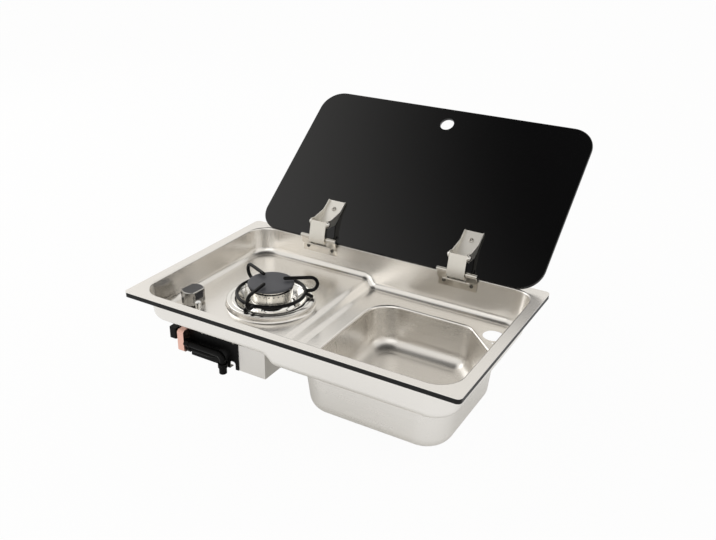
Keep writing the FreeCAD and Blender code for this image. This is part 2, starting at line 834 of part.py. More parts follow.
def burner_cap():
    """Dark enamelled cap with a rounded edge and a locating rim inside the crown."""
    top = cap_z + CAP_THICK
    rim_r = CROWN_R - CROWN_WALL - SIDE_GAP
    profile = [
        (0, cap_z),
        (rim_r - CROWN_WALL, cap_z),
        (rim_r - CROWN_WALL, cap_z - CROWN_FLANGE),
        (rim_r, cap_z - CROWN_FLANGE),
        (rim_r, cap_z),
        (CAP_R - SHEET, cap_z),
        (CAP_R, cap_z + SHEET),
        (CAP_R, top - 2 * SHEET),
        (CAP_R - SHEET, top - SHEET / 2),
        (CAP_R - 4 * SHEET, top),
        (0, top),
    ]
    return turned(profile, burner)


def thermocouple():
    """Flame sensor rod beside the crown, held in its ear of the burner base."""
    at = probe_places()[0][0]
    low = V(at.x, at.y, base_top_z - 4 * BASE_FLANGE)
    nose_r = THERMOCOUPLE_R / 2
    body = rod(THERMOCOUPLE_R, low, V(at.x, at.y, stove_z + PROBE_TOP - 2 * BASE_FLANGE))
    return body.fuse(rod(nose_r, low, V(at.x, at.y, stove_z + PROBE_TOP))).removeSplitter()


def spark_electrode():
    """Ceramic igniter post, held in its ear of the burner base."""
    at = probe_places()[1][0]
    low = V(at.x, at.y, base_top_z - 4 * BASE_FLANGE)
    return rod(CERAMIC_R, low, V(at.x, at.y, stove_z + PROBE_TOP / 2))


def spark_wire():
    """Bare wire of the electrode, bent in towards the crown."""
    at = probe_places()[1][0]
    low = V(at.x, at.y, stove_z + PROBE_TOP / 2)
    bend = V(at.x, at.y, stove_z + PROBE_TOP)
    tip = around(burner, PROBE_RING_R - 2 * CERAMIC_R, ELECTRODE_AT, stove_z + PROBE_TOP)
    return tube([low, bend, tip], 3 * SPARK_WIRE_R, SPARK_WIRE_R)


def pan_support():
    """Black wire pan support: a ring with three hairpin fingers over the cap and three pegs."""
    wire = Part.makeTorus(SUPPORT_RING_R, WIRE_R, V(burner.x, burner.y, ring_z))
    high = ring_z + 2 * FINGER_BEND_R
    for degrees in FINGER_ANGLES:
        start = around(burner, SUPPORT_RING_R, degrees, ring_z)
        low_bend = around(burner, FINGER_BEND_AT, degrees, ring_z)
        outside = around(burner, FINGER_BEND_AT + FINGER_BEND_R, degrees, ring_z + FINGER_BEND_R)
        high_bend = around(burner, FINGER_BEND_AT, degrees, high)
        tip = around(burner, FINGER_TIP_AT, degrees, high)
        edges = [
            Part.LineSegment(start, low_bend).toShape(),
            Part.Arc(low_bend, outside, high_bend).toShape(),
            Part.LineSegment(high_bend, tip).toShape(),
        ]
        circle = Part.Wire(Part.makeCircle(WIRE_R, start, low_bend - start))
        wire = wire.fuse(Part.Wire(edges).makePipeShell([circle], True, False))
        wire = wire.fuse(Part.makeSphere(WIRE_R, tip))
        peg_from = around(burner, SUPPORT_RING_R, degrees + PEG_OFFSET, ring_z)
        peg_to = around(burner, SUPPORT_RING_R + PEG_REACH, degrees + PEG_OFFSET, ring_z)
        wire = wire.fuse(rod(WIRE_R, peg_from, peg_to))
    return wire.removeSplitter()


def notch_tool(depth_from, depth_to):
    """Arched notch at the bottom edge of the valve plate and the guard behind it."""
    left = burner.x + NOTCH_LEFT
    right = left + NOTCH_WIDTH
    top = guard_low + NOTCH_HEIGHT
    low = guard_low - NOTCH_HEIGHT
    points = [
        V(left, depth_from, low),
        V(right, depth_from, low),
        V(right, depth_from, top),
        V(left, depth_from, top),
    ]
    arch = NOTCH_WIDTH * 0.4
    return plate(points, [0, 0, arch, arch], V(0, depth_to - depth_from, 0))


def feed_hole(depth_from, depth_to):
    """Clearance hole for the feed pipe through the valve plate and the guard."""
    at = feed_crossing()
    return rod(FEED_R + FEED_HOLE_GAP, V(at.x, depth_from, at.z), V(at.x, depth_to, at.z))


def burner_guard():
    """Sheet-steel guard round the burner: four walls with flanges welded under the stove floor."""
    x0 = guard_left_x
    x1 = guard_right_x
    y0 = guard_front_y
    y1 = burner.y + GUARD_BACK
    t = GUARD_SHEET
    guard = block(x0, y0, guard_low, x1, y1, stove_under)
    guard = guard.cut(block(x0 + t, y0 + t, guard_low, x1 - t, y1 - t, stove_under))
    for z in (guard_low, stove_under - t):
        frame = block(x0, y0, z, x1, y1, z + t)
        f = GUARD_FLANGE
        frame = frame.cut(block(x0 + f, y0 + f, z, x1 - f, y1 - f, z + t))
        guard = guard.fuse(frame)
    guard = guard.removeSplitter()
    reach = y0 + GUARD_FLANGE + t
    guard = guard.cut(notch_tool(y0 - t, reach))
    return guard.cut(feed_hole(y0 - t, y0 + 2 * t))


def valve_plate():
    """Black plate on the front of the guard, beside the gas block, with an arched notch."""
    x0 = block_right + BLOCK_GAP
    x1 = burner.x + PLATE_RIGHT
    y = guard_front_y
    sheet = block(x0, y - PLATE, guard_low, x1, y, stove_under)
    sheet = sheet.cut(notch_tool(y - 2 * PLATE, y + PLATE))
    sheet = sheet.cut(feed_hole(y - 2 * PLATE, y + PLATE))
    for at in plate_screw_places():
        sheet = sheet.cut(rod(SCREW_R + SNUG, at, at + V(0, 2 * PLATE, 0)))
    return sheet


def plate_screw_places():
    """Two screws near the top corners of the valve plate."""
    z = stove_under - 2 * GUARD_FLANGE
    y = guard_front_y - PLATE
    left = guard_left_x + PLATE_INSET + GUARD_FLANGE
    right = burner.x + PLATE_RIGHT - GUARD_FLANGE
    return [V(left, y, z), V(right, y, z)]


def valve_plate_screws():
    """Screws that end flush with the back of the valve plate."""
    inward = V(0, 1, 0)
    screws = [screw(at, inward, SCREW_HEAD_R, SCREW_HEAD, SCREW_R, PLATE) for at in plate_screw_places()]
    return Part.makeCompound(screws)


def valve_body():
    """Black cast gas tap under the stove floor, with an arm forward to the gas block."""
    top = stove_under
    low = top - VALVE_HEIGHT
    body = rod(VALVE_R, V(knob.x, knob.y, low), V(knob.x, knob.y, top))
    half = VALVE_ARM_WIDTH / 2
    arm_top = top - VALVE_ARM_DROP
    arm = block(arm_x - half, valve_front_y, arm_top - VALVE_ARM_HEIGHT, arm_x + half, knob.y, arm_top)
    upright = [e for e in arm.Edges if leaning(e)]
    arm = arm.makeFillet(half / 3, upright)
    boss_y = block_y
    boss = rod(BOSS_R, V(arm_x, boss_y, arm_top - VALVE_ARM_HEIGHT / 2),
               V(block_left, boss_y, arm_top - VALVE_ARM_HEIGHT / 2))
    body = body.fuse([arm, boss]).removeSplitter()
    floor = low + VALVE_BASE
    body = body.cut(rod(PLUG_R, V(knob.x, knob.y, floor), V(knob.x, knob.y, top)))
    return body


def valve_plug():
    """Brass plug that turns in the tap, with a flatted bore for the spindle."""
    floor = stove_under - VALVE_HEIGHT + VALVE_BASE
    low = V(knob.x, knob.y, floor + SIDE_GAP)
    top = low + V(0, 0, PLUG_HEIGHT)
    plug = rod(PLUG_R - RUNNING, low, top)
    seat = low + V(0, 0, VALVE_BASE / 2)
    plug = plug.cut(spindle_bar(seat, top + V(0, 0, SHEET), RUNNING))
    port = V(knob.x, knob.y, low.z + PLUG_HEIGHT / 3)
    return plug.cut(rod(VALVE_BASE / 3, port, port - V(0, 2 * PLUG_R, 0)))


def spindle_bar(low, top, gap):
    """D-section bar about the knob axis, grown all round by a gap."""
    bar = rod(SPINDLE_R + gap, low, top)
    far = 2 * KNOB_R
    side = block(knob.x + SPINDLE_FLAT + gap, knob.y - far, low.z, knob.x + far, knob.y + far, top.z)
    return bar.cut(side)


def spindle_ends():
    """Lower and upper end of the valve spindle."""
    seat_z = stove_under - VALVE_HEIGHT + VALVE_BASE + SIDE_GAP + VALVE_BASE / 2
    low = V(knob.x, knob.y, seat_z + KNOB_LIFT)
    top = V(knob.x, knob.y, stove_z + KNOB_LIFT + KNOB_HEIGHT / 2)
    return low, top


def valve_spindle():
    """Steel D-section spindle that turns the plug and slides in it; its collar stops it at the floor."""
    low, top = spindle_ends()
    collar_top = V(knob.x, knob.y, stove_under - SIDE_GAP)
    collar = rod(COLLAR_R, collar_top - V(0, 0, COLLAR), collar_top)
    return spindle_bar(low, top, 0).fuse(collar).removeSplitter()


def knob_blank(low_z, top_z, border):
    """Round bar with two flats about the knob axis, drawn in by a border."""
    bar = rod(KNOB_R - border, V(knob.x, knob.y, low_z), V(knob.x, knob.y, top_z))
    half = KNOB_FLAT - border
    far = 2 * KNOB_R
    slab = block(knob.x - half, knob.y - far, low_z, knob.x + half, knob.y + far, top_z)
    slab.rotate(V(knob.x, knob.y, 0), V(0, 0, 1), KNOB_FLAT_AT)
    return bar.common(slab)


def grip_pad(depth, border):
    """Flat pad let into the knob's front flat, grown by a border all round."""
    low = stove_z + KNOB_LIFT + KNOB_HEIGHT * 0.35 - border
    top = stove_z + KNOB_LIFT + KNOB_HEIGHT - INLAY_BORDER + border
    half = KNOB_R * 0.45 + border
    pad = block(knob.x + KNOB_FLAT - INLAY_SINK, knob.y - half, low,
                knob.x + KNOB_FLAT - INLAY_SINK + depth, knob.y + half, top)
    pad.rotate(V(knob.x, knob.y, 0), V(0, 0, 1), KNOB_FLAT_AT)
    return pad


def control_knob():
    """Chromed knob with two flats, hollow below, with a socket on the spindle."""
    low = stove_z + KNOB_LIFT
    top = low + KNOB_HEIGHT
    body = knob_blank(low, top, 0)
    rim = [e for e in body.Edges if abs(middle(e).z - top) < SNUG]
    body = body.makeChamfer(SHEET, rim)
    hollow = rod(KNOB_HOLLOW_R, V(knob.x, knob.y, low), V(knob.x, knob.y, low + KNOB_HOLLOW / 2))
    body = body.cut(hollow)
    end = spindle_ends()[1]
    body = body.cut(spindle_bar(V(knob.x, knob.y, low - SHEET), end + V(0, 0, SNUG), SNUG))
    body = body.cut(knob_blank(top - INLAY_SINK, top + SHEET, INLAY_BORDER - SNUG))
    return body.cut(grip_pad(2 * INLAY, SNUG))


def knob_inlay():
    """Dark inlays let into the top and the front flat of the knob."""
    top = stove_z + KNOB_LIFT + KNOB_HEIGHT
    disc = knob_blank(top - INLAY_SINK, top - INLAY_SINK + INLAY, INLAY_BORDER)
    return Part.makeCompound([disc, grip_pad(INLAY, 0)])


def knob_bezel():
    """Rubber sealing ring on the stove floor round the spindle."""
    return ring(knob, FLOOR_BORE_R, BEZEL_R, stove_z, stove_z + BEZEL)


def gas_block():
    """Copper-coloured gas block between the tap arm and the two pipes."""
    top = stove_under - BLOCK_TOP
    low = top - BLOCK_HEIGHT
    half = BLOCK_DEPTH / 2
    cut = BLOCK_CHAMFER
    points = [
        V(block_left, block_y - half + cut, low),
        V(block_left, block_y + half - cut, low),
        V(block_left, block_y + half, low + cut),
        V(block_left, block_y + half, top - cut),
        V(block_left, block_y + half - cut, top),
        V(block_left, block_y - half + cut, top),
        V(block_left, block_y - half, top - cut),
        V(block_left, block_y - half, low + cut),
    ]
    return plate(points, [0] * 8, V(BLOCK_LENGTH, 0, 0))


def pipe_start(drop, forward):
    """Point on the right face of the gas block, by its drop below the floor and its way to the front."""
    return V(block_right, block_y - forward, stove_under - drop)


def pipe_nuts():
    """Copper compression nuts where the two pipes leave the gas block."""
    nuts = []
    inlet = (pipe_start(PIPE_DROP, PIPE_FORWARD), PIPE_R)
    feed = (pipe_start(FEED_DROP, FEED_FORWARD), FEED_R)
    for start, radius in (inlet, feed):
        end = start + V(NUT_LENGTH, 0, 0)
        nut = hexagon(radius + NUT_WALL, start, end, V(0, 1, 0))
        nuts.append(nut.cut(rod(radius + SNUG, start, end)))
    return Part.makeCompound(nuts)


def elbow_end():
    """Lower end of the inlet pipe, where the hose nozzle starts."""
    start = pipe_start(PIPE_DROP, PIPE_FORWARD)
    return V(start.x + PIPE_LENGTH, start.y, start.z - PIPE_BEND - PIPE_R)


def inlet_pipe():
    """Black gas inlet pipe that runs along the front and turns down to the hose nozzle."""
    start = pipe_start(PIPE_DROP, PIPE_FORWARD)
    end = elbow_end()
    turn = V(end.x, start.y, start.z)
    pipe = tube([start, turn, end], PIPE_BEND, PIPE_R)
    return pipe.cut(rod(NOZZLE_BORE_R, end, end + V(0, 0, PIPE_R)))


def inlet_nozzle():
    """Black pipe end with a shoulder and a plain spigot for the gas hose, open below."""
    top = elbow_end()
    shoulder = top.z - NOZZLE_LENGTH
    low = shoulder - SPIGOT_LENGTH
    profile = [
        (NOZZLE_BORE_R, low),
        (SPIGOT_R - SPIGOT_CHAMFER, low),
        (SPIGOT_R, low + SPIGOT_CHAMFER),
        (SPIGOT_R, shoulder),
        (NOZZLE_R, shoulder),
        (NOZZLE_R, top.z),
        (NOZZLE_BORE_R, top.z),
    ]
    return turned(profile, top)


def feed_points():
    """Route of the feed pipe: along the gas block's front, square through the guard, up to the jet."""
    start = pipe_start(FEED_DROP, FEED_FORWARD)
    end = V(burner.x, jet_y - JET_LENGTH / 2, venturi_z)
    turn = start + V(FEED_RUN, 0, 0)
    through = V(turn.x, guard_front_y + FEED_BEND + FEED_R, turn.z)
    under = V(end.x, end.y - FEED_BEND - SHEET, end.z)
    return [start, turn, through, under, end]


def feed_crossing():
    """Point where the feed pipe goes through the guard's front."""
    turn = feed_points()[1]
    return V(turn.x, guard_front_y, turn.z)


def feed_pipe():
    """Black feed pipe from the gas block to the jet."""
    return tube(feed_points(), FEED_BEND, FEED_R)


def igniter_body():
    """Black push igniter below the floor, with a neck through it."""
    neck_top = stove_z + IGNITER_NUT + SHEET
    low = stove_under - IGNITER_BODY
    body = rod(IGNITER_BODY_R, V(igniter.x, igniter.y, low), V(igniter.x, igniter.y, stove_under))
    body = body.fuse(rod(IGNITER_NECK_R, V(igniter.x, igniter.y, low), V(igniter.x, igniter.y, neck_top)))
    body = body.removeSplitter()
    bore_low = stove_z + BUTTON_TOP - BUTTON_CAP - BUTTON_STEM - 2 * BUTTON_R
    bore = rod(BUTTON_STEM_R + RUNNING, V(igniter.x, igniter.y, bore_low), V(igniter.x, igniter.y, neck_top))
    return body.cut(bore)


def igniter_nut():
    """Black hexagon nut that clamps the igniter to the floor."""
    low = V(igniter.x, igniter.y, stove_z)
    top = low + V(0, 0, IGNITER_NUT)
    nut = hexagon(IGNITER_NUT_R, low, top, V(1, 0, 0))
    return nut.cut(rod(IGNITER_NECK_R + SNUG, low, top))


def igniter_button():
    """Chromed push button with a stem that slides in the igniter."""
    top = stove_z + BUTTON_TOP
    low = top - BUTTON_CAP
    profile = [
        (0, low - BUTTON_STEM),
        (BUTTON_STEM_R, low - BUTTON_STEM),
        (BUTTON_STEM_R, low),
        (BUTTON_R, low),
        (BUTTON_R, top - SHEET),
        (BUTTON_R - SHEET, top),
        (0, top),
    ]
    return turned(profile, igniter)


def on_lid(shape):
    """Move a shape from the lid's own frame to the open lid: x across, y up the glass, z to the front."""
    shape.rotate(V(0, 0, 0), V(1, 0, 0), 90 - LID_LEAN)
    shape.translate(lid_foot)
    return shape


def lid_glass():
    """Dark toughened glass lid with rounded corners, a finger hole and two screw holes."""
    half = LID_SIDE_LAP - recess_left
    outline = flat(rectangle(-half, 0, half, lid_width), -LID_GLASS)
    glass = plate(outline, [LID_CORNER] * 4, V(0, 0, LID_GLASS))
    rims = [e for e in glass.Edges if abs(abs(middle(e).z + LID_GLASS / 2) - LID_GLASS / 2) < SNUG]
    glass = glass.makeChamfer(LID_EDGE, rims)
    front = V(0, 0, SHEET)
    back = V(0, 0, -LID_GLASS - SHEET)
    holes = [(V(0, lid_width - LID_HOLE_FROM_EDGE, 0), LID_HOLE_R)]
    for x in hinge_sides.values():
        holes.append((V(x, BRACKET_SCREW, 0), LID_SCREW_R + SIDE_GAP))
    return on_lid(glass.cut([rod(radius, at + back, at + front) for at, radius in holes]))


def lid_bracket(x):
    """Folded steel bracket on the glass: a web with two cheeks that reach down to the rivets."""
    web = block(x - cheek_out, BRACKET_FOOT, PAD, x + cheek_out, bracket_top, PAD + BRACKET_SHEET)
    reach = RIVET_HEAD_R + SHEET
    low_edge = PAD + 3 * BRACKET_SHEET
    outline = [
        (bracket_top, PAD),
        (bracket_top, low_edge),
        (BRACKET_FOOT + BRACKET_FLARE, low_edge + BRACKET_SHEET),
        (RIVET_UP + 2 * reach, RIVET_OUT - reach / 2),
        (RIVET_UP + reach / 2, RIVET_OUT + reach),
        (RIVET_UP - reach, RIVET_OUT + reach),
        (RIVET_UP - reach, RIVET_OUT - reach),
        (BRACKET_FOOT, PAD),
    ]
    radii = [0, SHEET, 3 * reach, reach, SHEET, reach, reach, 0]
    bracket = web
    for start in (x - cheek_out, x + cheek_in):
        points = [V(start, up, out) for up, out in outline]
        bracket = bracket.fuse(plate(points, radii, V(BRACKET_SHEET, 0, 0)))
    bracket = bracket.removeSplitter()
    axis = V(x - 2 * cheek_out, RIVET_UP, RIVET_OUT)
    bracket = bracket.cut(rod(RIVET_R + SNUG, axis, axis + V(4 * cheek_out, 0, 0)))
    hole = V(x, BRACKET_SCREW, 0)
    bracket = bracket.cut(rod(LID_SCREW_R + SNUG, hole, hole + V(0, 0, PAD + 2 * BRACKET_SHEET)))
    return on_lid(bracket)


def bracket_pads():
    """Thin rubber pads between the brackets and the glass."""
    pads = []
    for x in hinge_sides.values():
        pad = block(x - cheek_out, BRACKET_FOOT, 0, x + cheek_out, bracket_top, PAD)
        hole = V(x, BRACKET_SCREW, -PAD)
        pads.append(on_lid(pad.cut(rod(LID_SCREW_R + SNUG, hole, hole + V(0, 0, 3 * PAD)))))
    return Part.makeCompound(pads)


def lid_screws():
    """Screws through bracket, pad and glass."""
    screws = []
    for x in hinge_sides.values():
        seat = V(x, BRACKET_SCREW, PAD + BRACKET_SHEET)
        length = PAD + BRACKET_SHEET + LID_GLASS + LID_CAP / 2
        one = screw(seat, V(0, 0, -1), LID_SCREW_HEAD_R, SCREW_HEAD, LID_SCREW_R, length)
        screws.append(on_lid(one))
    return Part.makeCompound(screws)


def lid_caps():
    """Domed cap nuts behind the glass."""
    caps = []
    for x in hinge_sides.values():
        seat = -LID_GLASS
        centre = V(x, BRACKET_SCREW, 0)
        low = seat - LID_CAP
        profile = [
            (0, low),
            (LID_CAP_R / 2, low),
            (LID_CAP_R - SHEET, seat - LID_CAP / 2),
            (LID_CAP_R, seat - LID_CAP / 4),
            (LID_CAP_R, seat),
            (LID_SCREW_R + SNUG, seat),
            (LID_SCREW_R + SNUG, seat - LID_CAP / 2 - SNUG),
            (0, seat - LID_CAP / 2 - SNUG),
        ]
        caps.append(on_lid(turned(profile, centre)))
    return Part.makeCompound(caps)


def rivet_axis():
    """Point of the rivet axis in the hinge plane, with the lid open."""
    out_y = RIVET_UP * math.sin(lean) - RIVET_OUT * math.cos(lean)
    out_z = RIVET_UP * math.cos(lean) + RIVET_OUT * math.sin(lean)
    return V(0, lid_foot.y + out_y, lid_foot.z + out_z)


def hinge_arm(x):
    """Folded steel arm: a front web with two cheeks, on the pin below and the rivets above.

    It is drawn upright and then leaned back about the pin.
    """
    axis = V(0, pin_y, pin_z)
    upright = FreeCAD.Rotation(V(1, 0, 0), ARM_LEAN)
    rivet = axis + upright.multVec(rivet_axis() - axis)
    front = pin_y - ARM_FRONT
    low = pin_z - ARM_TAIL
    top = rivet.z + ARM_TOP
    back = PIN_R + 2 * SHEET
    outline = [
        (front, low),
        (pin_y + back / 2, low + SHEET),
        (pin_y + back, pin_z),
        (pin_y, pin_z + 3 * back),
        (pin_y, rivet.z - 2 * back),
        (rivet.y + ARM_TOP, rivet.z - SHEET),
        (rivet.y + ARM_TOP, top),
        (front, top),
    ]
    radii = [0, SHEET, 2 * SHEET, 2 * back, back, SHEET, 2 * SHEET, 2 * SHEET]
    arm = block(x - arm_half, front, low, x + arm_half, front + ARM_SHEET, top - 2 * SHEET)
    for start in (x - arm_half, x + arm_half - ARM_SHEET):
        points = [V(start, y, z) for y, z in outline]
        arm = arm.fuse(plate(points, radii, V(ARM_SHEET, 0, 0)))
    arm = arm.removeSplitter()
    along = V(2 * ARM_WIDTH, 0, 0)
    pin_at = V(x - ARM_WIDTH, pin_y, pin_z)
    rivet_at = V(x - ARM_WIDTH, rivet.y, rivet.z)
    arm = arm.cut(rod(PIN_R + RUNNING, pin_at, pin_at + along))
    arm = arm.cut(rod(RIVET_R + SNUG, rivet_at, rivet_at + along))
    arm.rotate(axis, V(1, 0, 0), -ARM_LEAN)
    return arm


def hinge_rivets():
    """Domed rivets that join each arm to its lid bracket, one in each cheek."""
    rivet = rivet_axis()
    rivets = []
    for x in hinge_sides.values():
        for side in (-1, 1):
            inner = V(x + side * (arm_half - ARM_SHEET), rivet.y, rivet.z)
            outer = V(x + side * cheek_out, rivet.y, rivet.z)
            shank = rod(RIVET_R, inner, outer)
            tail = rod(RIVET_R + SHEET, inner - V(side * SHEET, 0, 0), inner)
            ball_r = (RIVET_HEAD_R ** 2 + RIVET_HEAD ** 2) / (2 * RIVET_HEAD)
            ball = Part.makeSphere(ball_r, outer + V(side * (RIVET_HEAD - ball_r), 0, 0))
            dome = ball.common(rod(RIVET_HEAD_R, outer, outer + V(side * 2 * RIVET_HEAD, 0, 0)))
            rivets.append(shank.fuse([tail, dome]).removeSplitter())
    return Part.makeCompound(rivets)


def wall_y(z):
    """Inner face of the back wall of the recess at a height."""
    return -recess_front - WALL_SLOPE * (rim_top - z)


def wall_inward():
    """Direction square to the back wall, out of the recess."""
    return V(0, 1, -WALL_SLOPE).normalize()


def hinge_base(x):
    """Folded steel base on the back wall: plate, beaded shelf under the arm, two posts and knuckles."""
    shelf_top = pin_z - SHELF_BELOW_PIN
    shelf_low = shelf_top - HINGE_PLATE
    foot = shelf_top - HINGE_PLATE_DROP
    gap = WALL_GAP + HINGE_PLATE
    side = [
        V(x - knuckle_out, wall_y(shelf_top) - WALL_GAP, shelf_top),
        V(x - knuckle_out, wall_y(shelf_top) - gap, shelf_top),
        V(x - knuckle_out, wall_y(foot) - gap, foot),
        V(x - knuckle_out, wall_y(foot) - WALL_GAP, foot),
    ]
    base = plate(side, [0] * 4, V(2 * knuckle_out, 0, 0))
    post_back = lid_foot.y - SIDE_GAP
    for sign in (-1, 1):
        x0, x1 = sorted((x + sign * knuckle_in, x + sign * knuckle_out))
        shelf = block(x0, pin_y - POST_FRONT, shelf_low, x1, wall_y(shelf_low) - gap + SHEET, shelf_top)
        post = block(x0, pin_y - POST_FRONT, shelf_low, x1, post_back, pin_z)
        knuckle = rod(KNUCKLE_R, V(x0, pin_y, pin_z), V(x1, pin_y, pin_z))
        base = base.fuse([shelf, post, knuckle])
    bead_z = pin_z - SHELF_BEAD_DROP
    bead_x = arm_half + SHELF_BEAD_OUT
    bead = rod(SHELF_BEAD_R, V(x - bead_x, pin_y, bead_z), V(x + bead_x, pin_y, bead_z))
    tray = block(x - bead_x, pin_y, bead_z - HINGE_PLATE / 2, x + bead_x,
                 wall_y(bead_z) - gap + SHEET, bead_z + HINGE_PLATE / 2)
    base = base.fuse([bead, tray]).removeSplitter()
    bore = V(x - 2 * knuckle_out, pin_y, pin_z)
    base = base.cut(rod(PIN_R + SNUG, bore, bore + V(4 * knuckle_out, 0, 0)))
    for at in hinge_screw_places():
        base = base.cut(rod(SCREW_R + SNUG, at - wall_inward() * SHEET, at + wall_inward() * SCREW_LENGTH))
    return base


def hinge_screw_places():
    """Heads of the base screws, on the front of the base plates."""
    z = pin_z - SHELF_BELOW_PIN - HINGE_SCREW_DROP
    y = wall_y(z) - WALL_GAP - HINGE_PLATE
    places = []
    for x in hinge_sides.values():
        for sign in (-1, 1):
            places.append(V(x + sign * HINGE_SCREW_X, y, z))
    return places


def hinge_base_screws():
    """Screws that hold the hinge bases on the back wall."""
    screws = []
    for at in hinge_screw_places():
        screws.append(screw(at, wall_inward(), SCREW_HEAD_R, SCREW_HEAD, SCREW_R, SCREW_LENGTH))
    return Part.makeCompound(screws)


def hinge_pin(x):
    """Hinge pin pressed in the knuckles, with a small head at each end."""
    start = V(x - knuckle_out, pin_y, pin_z)
    end = V(x + knuckle_out, pin_y, pin_z)
    over = V(PIN_END, 0, 0)
    pin = rod(PIN_R, start, end)
    head_r = KNUCKLE_R - SHEET / 2
    pin = pin.fuse([rod(head_r, start - over, start), rod(head_r, end, end + over)])
    return pin.removeSplitter()


def all_parts():
    """Every node with its solid."""
    parts = {
        "top_deck": top_deck(),
        "rim_seal": rim_seal(),
        "sink_bowl": sink_bowl(),
        "drain_flange": drain_flange(),
        "drain_gasket": drain_gasket(),
        "drain_nut": drain_nut(),
        "drain_body": drain_body(),
        "drain_strainer": drain_strainer(),
        "drip_ring": drip_ring(),
        "burner_base": burner_base(),
        "burner_base_screws": burner_base_screws(),
        "injector": injector(),
        "burner_crown": burner_crown(),
        "burner_cap": burner_cap(),
        "thermocouple": thermocouple(),
        "spark_electrode": spark_electrode(),
        "spark_wire": spark_wire(),
        "pan_support": pan_support(),
        "burner_guard": burner_guard(),
        "valve_plate": valve_plate(),
        "valve_plate_screws": valve_plate_screws(),
        "valve_body": valve_body(),
        "valve_plug": valve_plug(),
        "valve_spindle": valve_spindle(),
        "control_knob": control_knob(),
        "knob_inlay": knob_inlay(),
        "knob_bezel": knob_bezel(),
        "gas_block": gas_block(),
        "pipe_nuts": pipe_nuts(),
        "inlet_pipe": inlet_pipe(),
        "inlet_nozzle": inlet_nozzle(),
        "feed_pipe": feed_pipe(),
        "igniter_body": igniter_body(),
        "igniter_nut": igniter_nut(),
        "igniter_button": igniter_button(),
        "lid_glass": lid_glass(),
        "bracket_pads": bracket_pads(),
        "lid_screws": lid_screws(),
        "lid_caps": lid_caps(),
        "hinge_rivets": hinge_rivets(),
        "hinge_base_screws": hinge_base_screws(),
    }
    for side, x in hinge_sides.items():
        parts["lid_bracket_" + side] = lid_bracket(x)
        parts["hinge_arm_" + side] = hinge_arm(x)
        parts["hinge_base_" + side] = hinge_base(x)
        parts["hinge_pin_" + side] = hinge_pin(x)
    return parts


os.makedirs("parts", exist_ok=True)
for name, shape in all_parts().items():
    shape.exportStep("parts/" + name + ".step")
    print(name, len(shape.Solids), round(shape.Volume, 1), shape.isValid())
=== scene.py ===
# %% [markdown]
# # A camper sink and hob under a glass lid
# The object is a drop-in kitchen unit for a camper: one pressed steel tray holds a gas burner and a sink bowl,
# and a dark glass lid folds down over both. The exact solids come in as a fixed frame, in metres, with +Z up,
# +X towards the sink and +Y towards the hinges. Everything below gives those solids their finish, adds the small
# pieces that the solids leave plain, and sets the camera and the light.

# %% Load the frame
import math

import bpy
import numpy as np
from mathutils import Matrix, Vector


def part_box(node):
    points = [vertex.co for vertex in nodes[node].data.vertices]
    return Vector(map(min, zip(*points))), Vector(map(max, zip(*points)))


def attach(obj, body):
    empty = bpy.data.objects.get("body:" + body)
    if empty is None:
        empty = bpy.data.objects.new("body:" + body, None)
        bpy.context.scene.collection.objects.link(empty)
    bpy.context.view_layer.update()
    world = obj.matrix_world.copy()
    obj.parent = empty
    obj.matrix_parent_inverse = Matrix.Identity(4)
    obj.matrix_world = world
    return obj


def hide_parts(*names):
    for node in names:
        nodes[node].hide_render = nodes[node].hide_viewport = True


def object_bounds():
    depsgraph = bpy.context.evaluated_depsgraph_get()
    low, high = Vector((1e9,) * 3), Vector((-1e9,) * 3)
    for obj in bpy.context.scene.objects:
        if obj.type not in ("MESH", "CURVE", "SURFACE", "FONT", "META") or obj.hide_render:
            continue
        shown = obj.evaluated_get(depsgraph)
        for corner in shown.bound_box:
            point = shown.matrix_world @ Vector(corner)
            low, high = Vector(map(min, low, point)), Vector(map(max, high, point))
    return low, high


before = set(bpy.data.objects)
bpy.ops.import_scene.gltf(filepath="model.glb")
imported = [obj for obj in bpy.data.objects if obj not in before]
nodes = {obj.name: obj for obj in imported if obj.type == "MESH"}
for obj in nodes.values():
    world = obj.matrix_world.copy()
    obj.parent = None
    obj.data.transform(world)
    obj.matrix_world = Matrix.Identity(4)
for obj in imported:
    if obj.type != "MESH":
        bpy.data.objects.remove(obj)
cad_low, cad_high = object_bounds()
MM = 0.001
print("nodes", len(nodes), "box", [round(v, 4) for v in cad_low], [round(v, 4) for v in cad_high])

# %% [markdown]
# ## The camera
# The camera stands to the front right of the unit and looks down on it. Its angles were worked out from the
# corners of the rim and of the lid: a turn about the vertical, a height angle, a slight roll and a distance from
# a point near the burner. A focal length in pixels becomes a lens in millimetres for a 36 mm wide sensor.

# %% Camera
IMAGE_WIDTH = 716
FOCAL_PIXELS = 834.5
SENSOR_WIDTH = 36.0
FAR_CLIP = 100.0
AZIMUTH = math.radians(29.642)
ELEVATION = math.radians(25.241)
ROLL = math.radians(1.069)
DISTANCE = 1454.5 * MM
TARGET = Vector((-15.7, 90.4, 9.0)) * MM

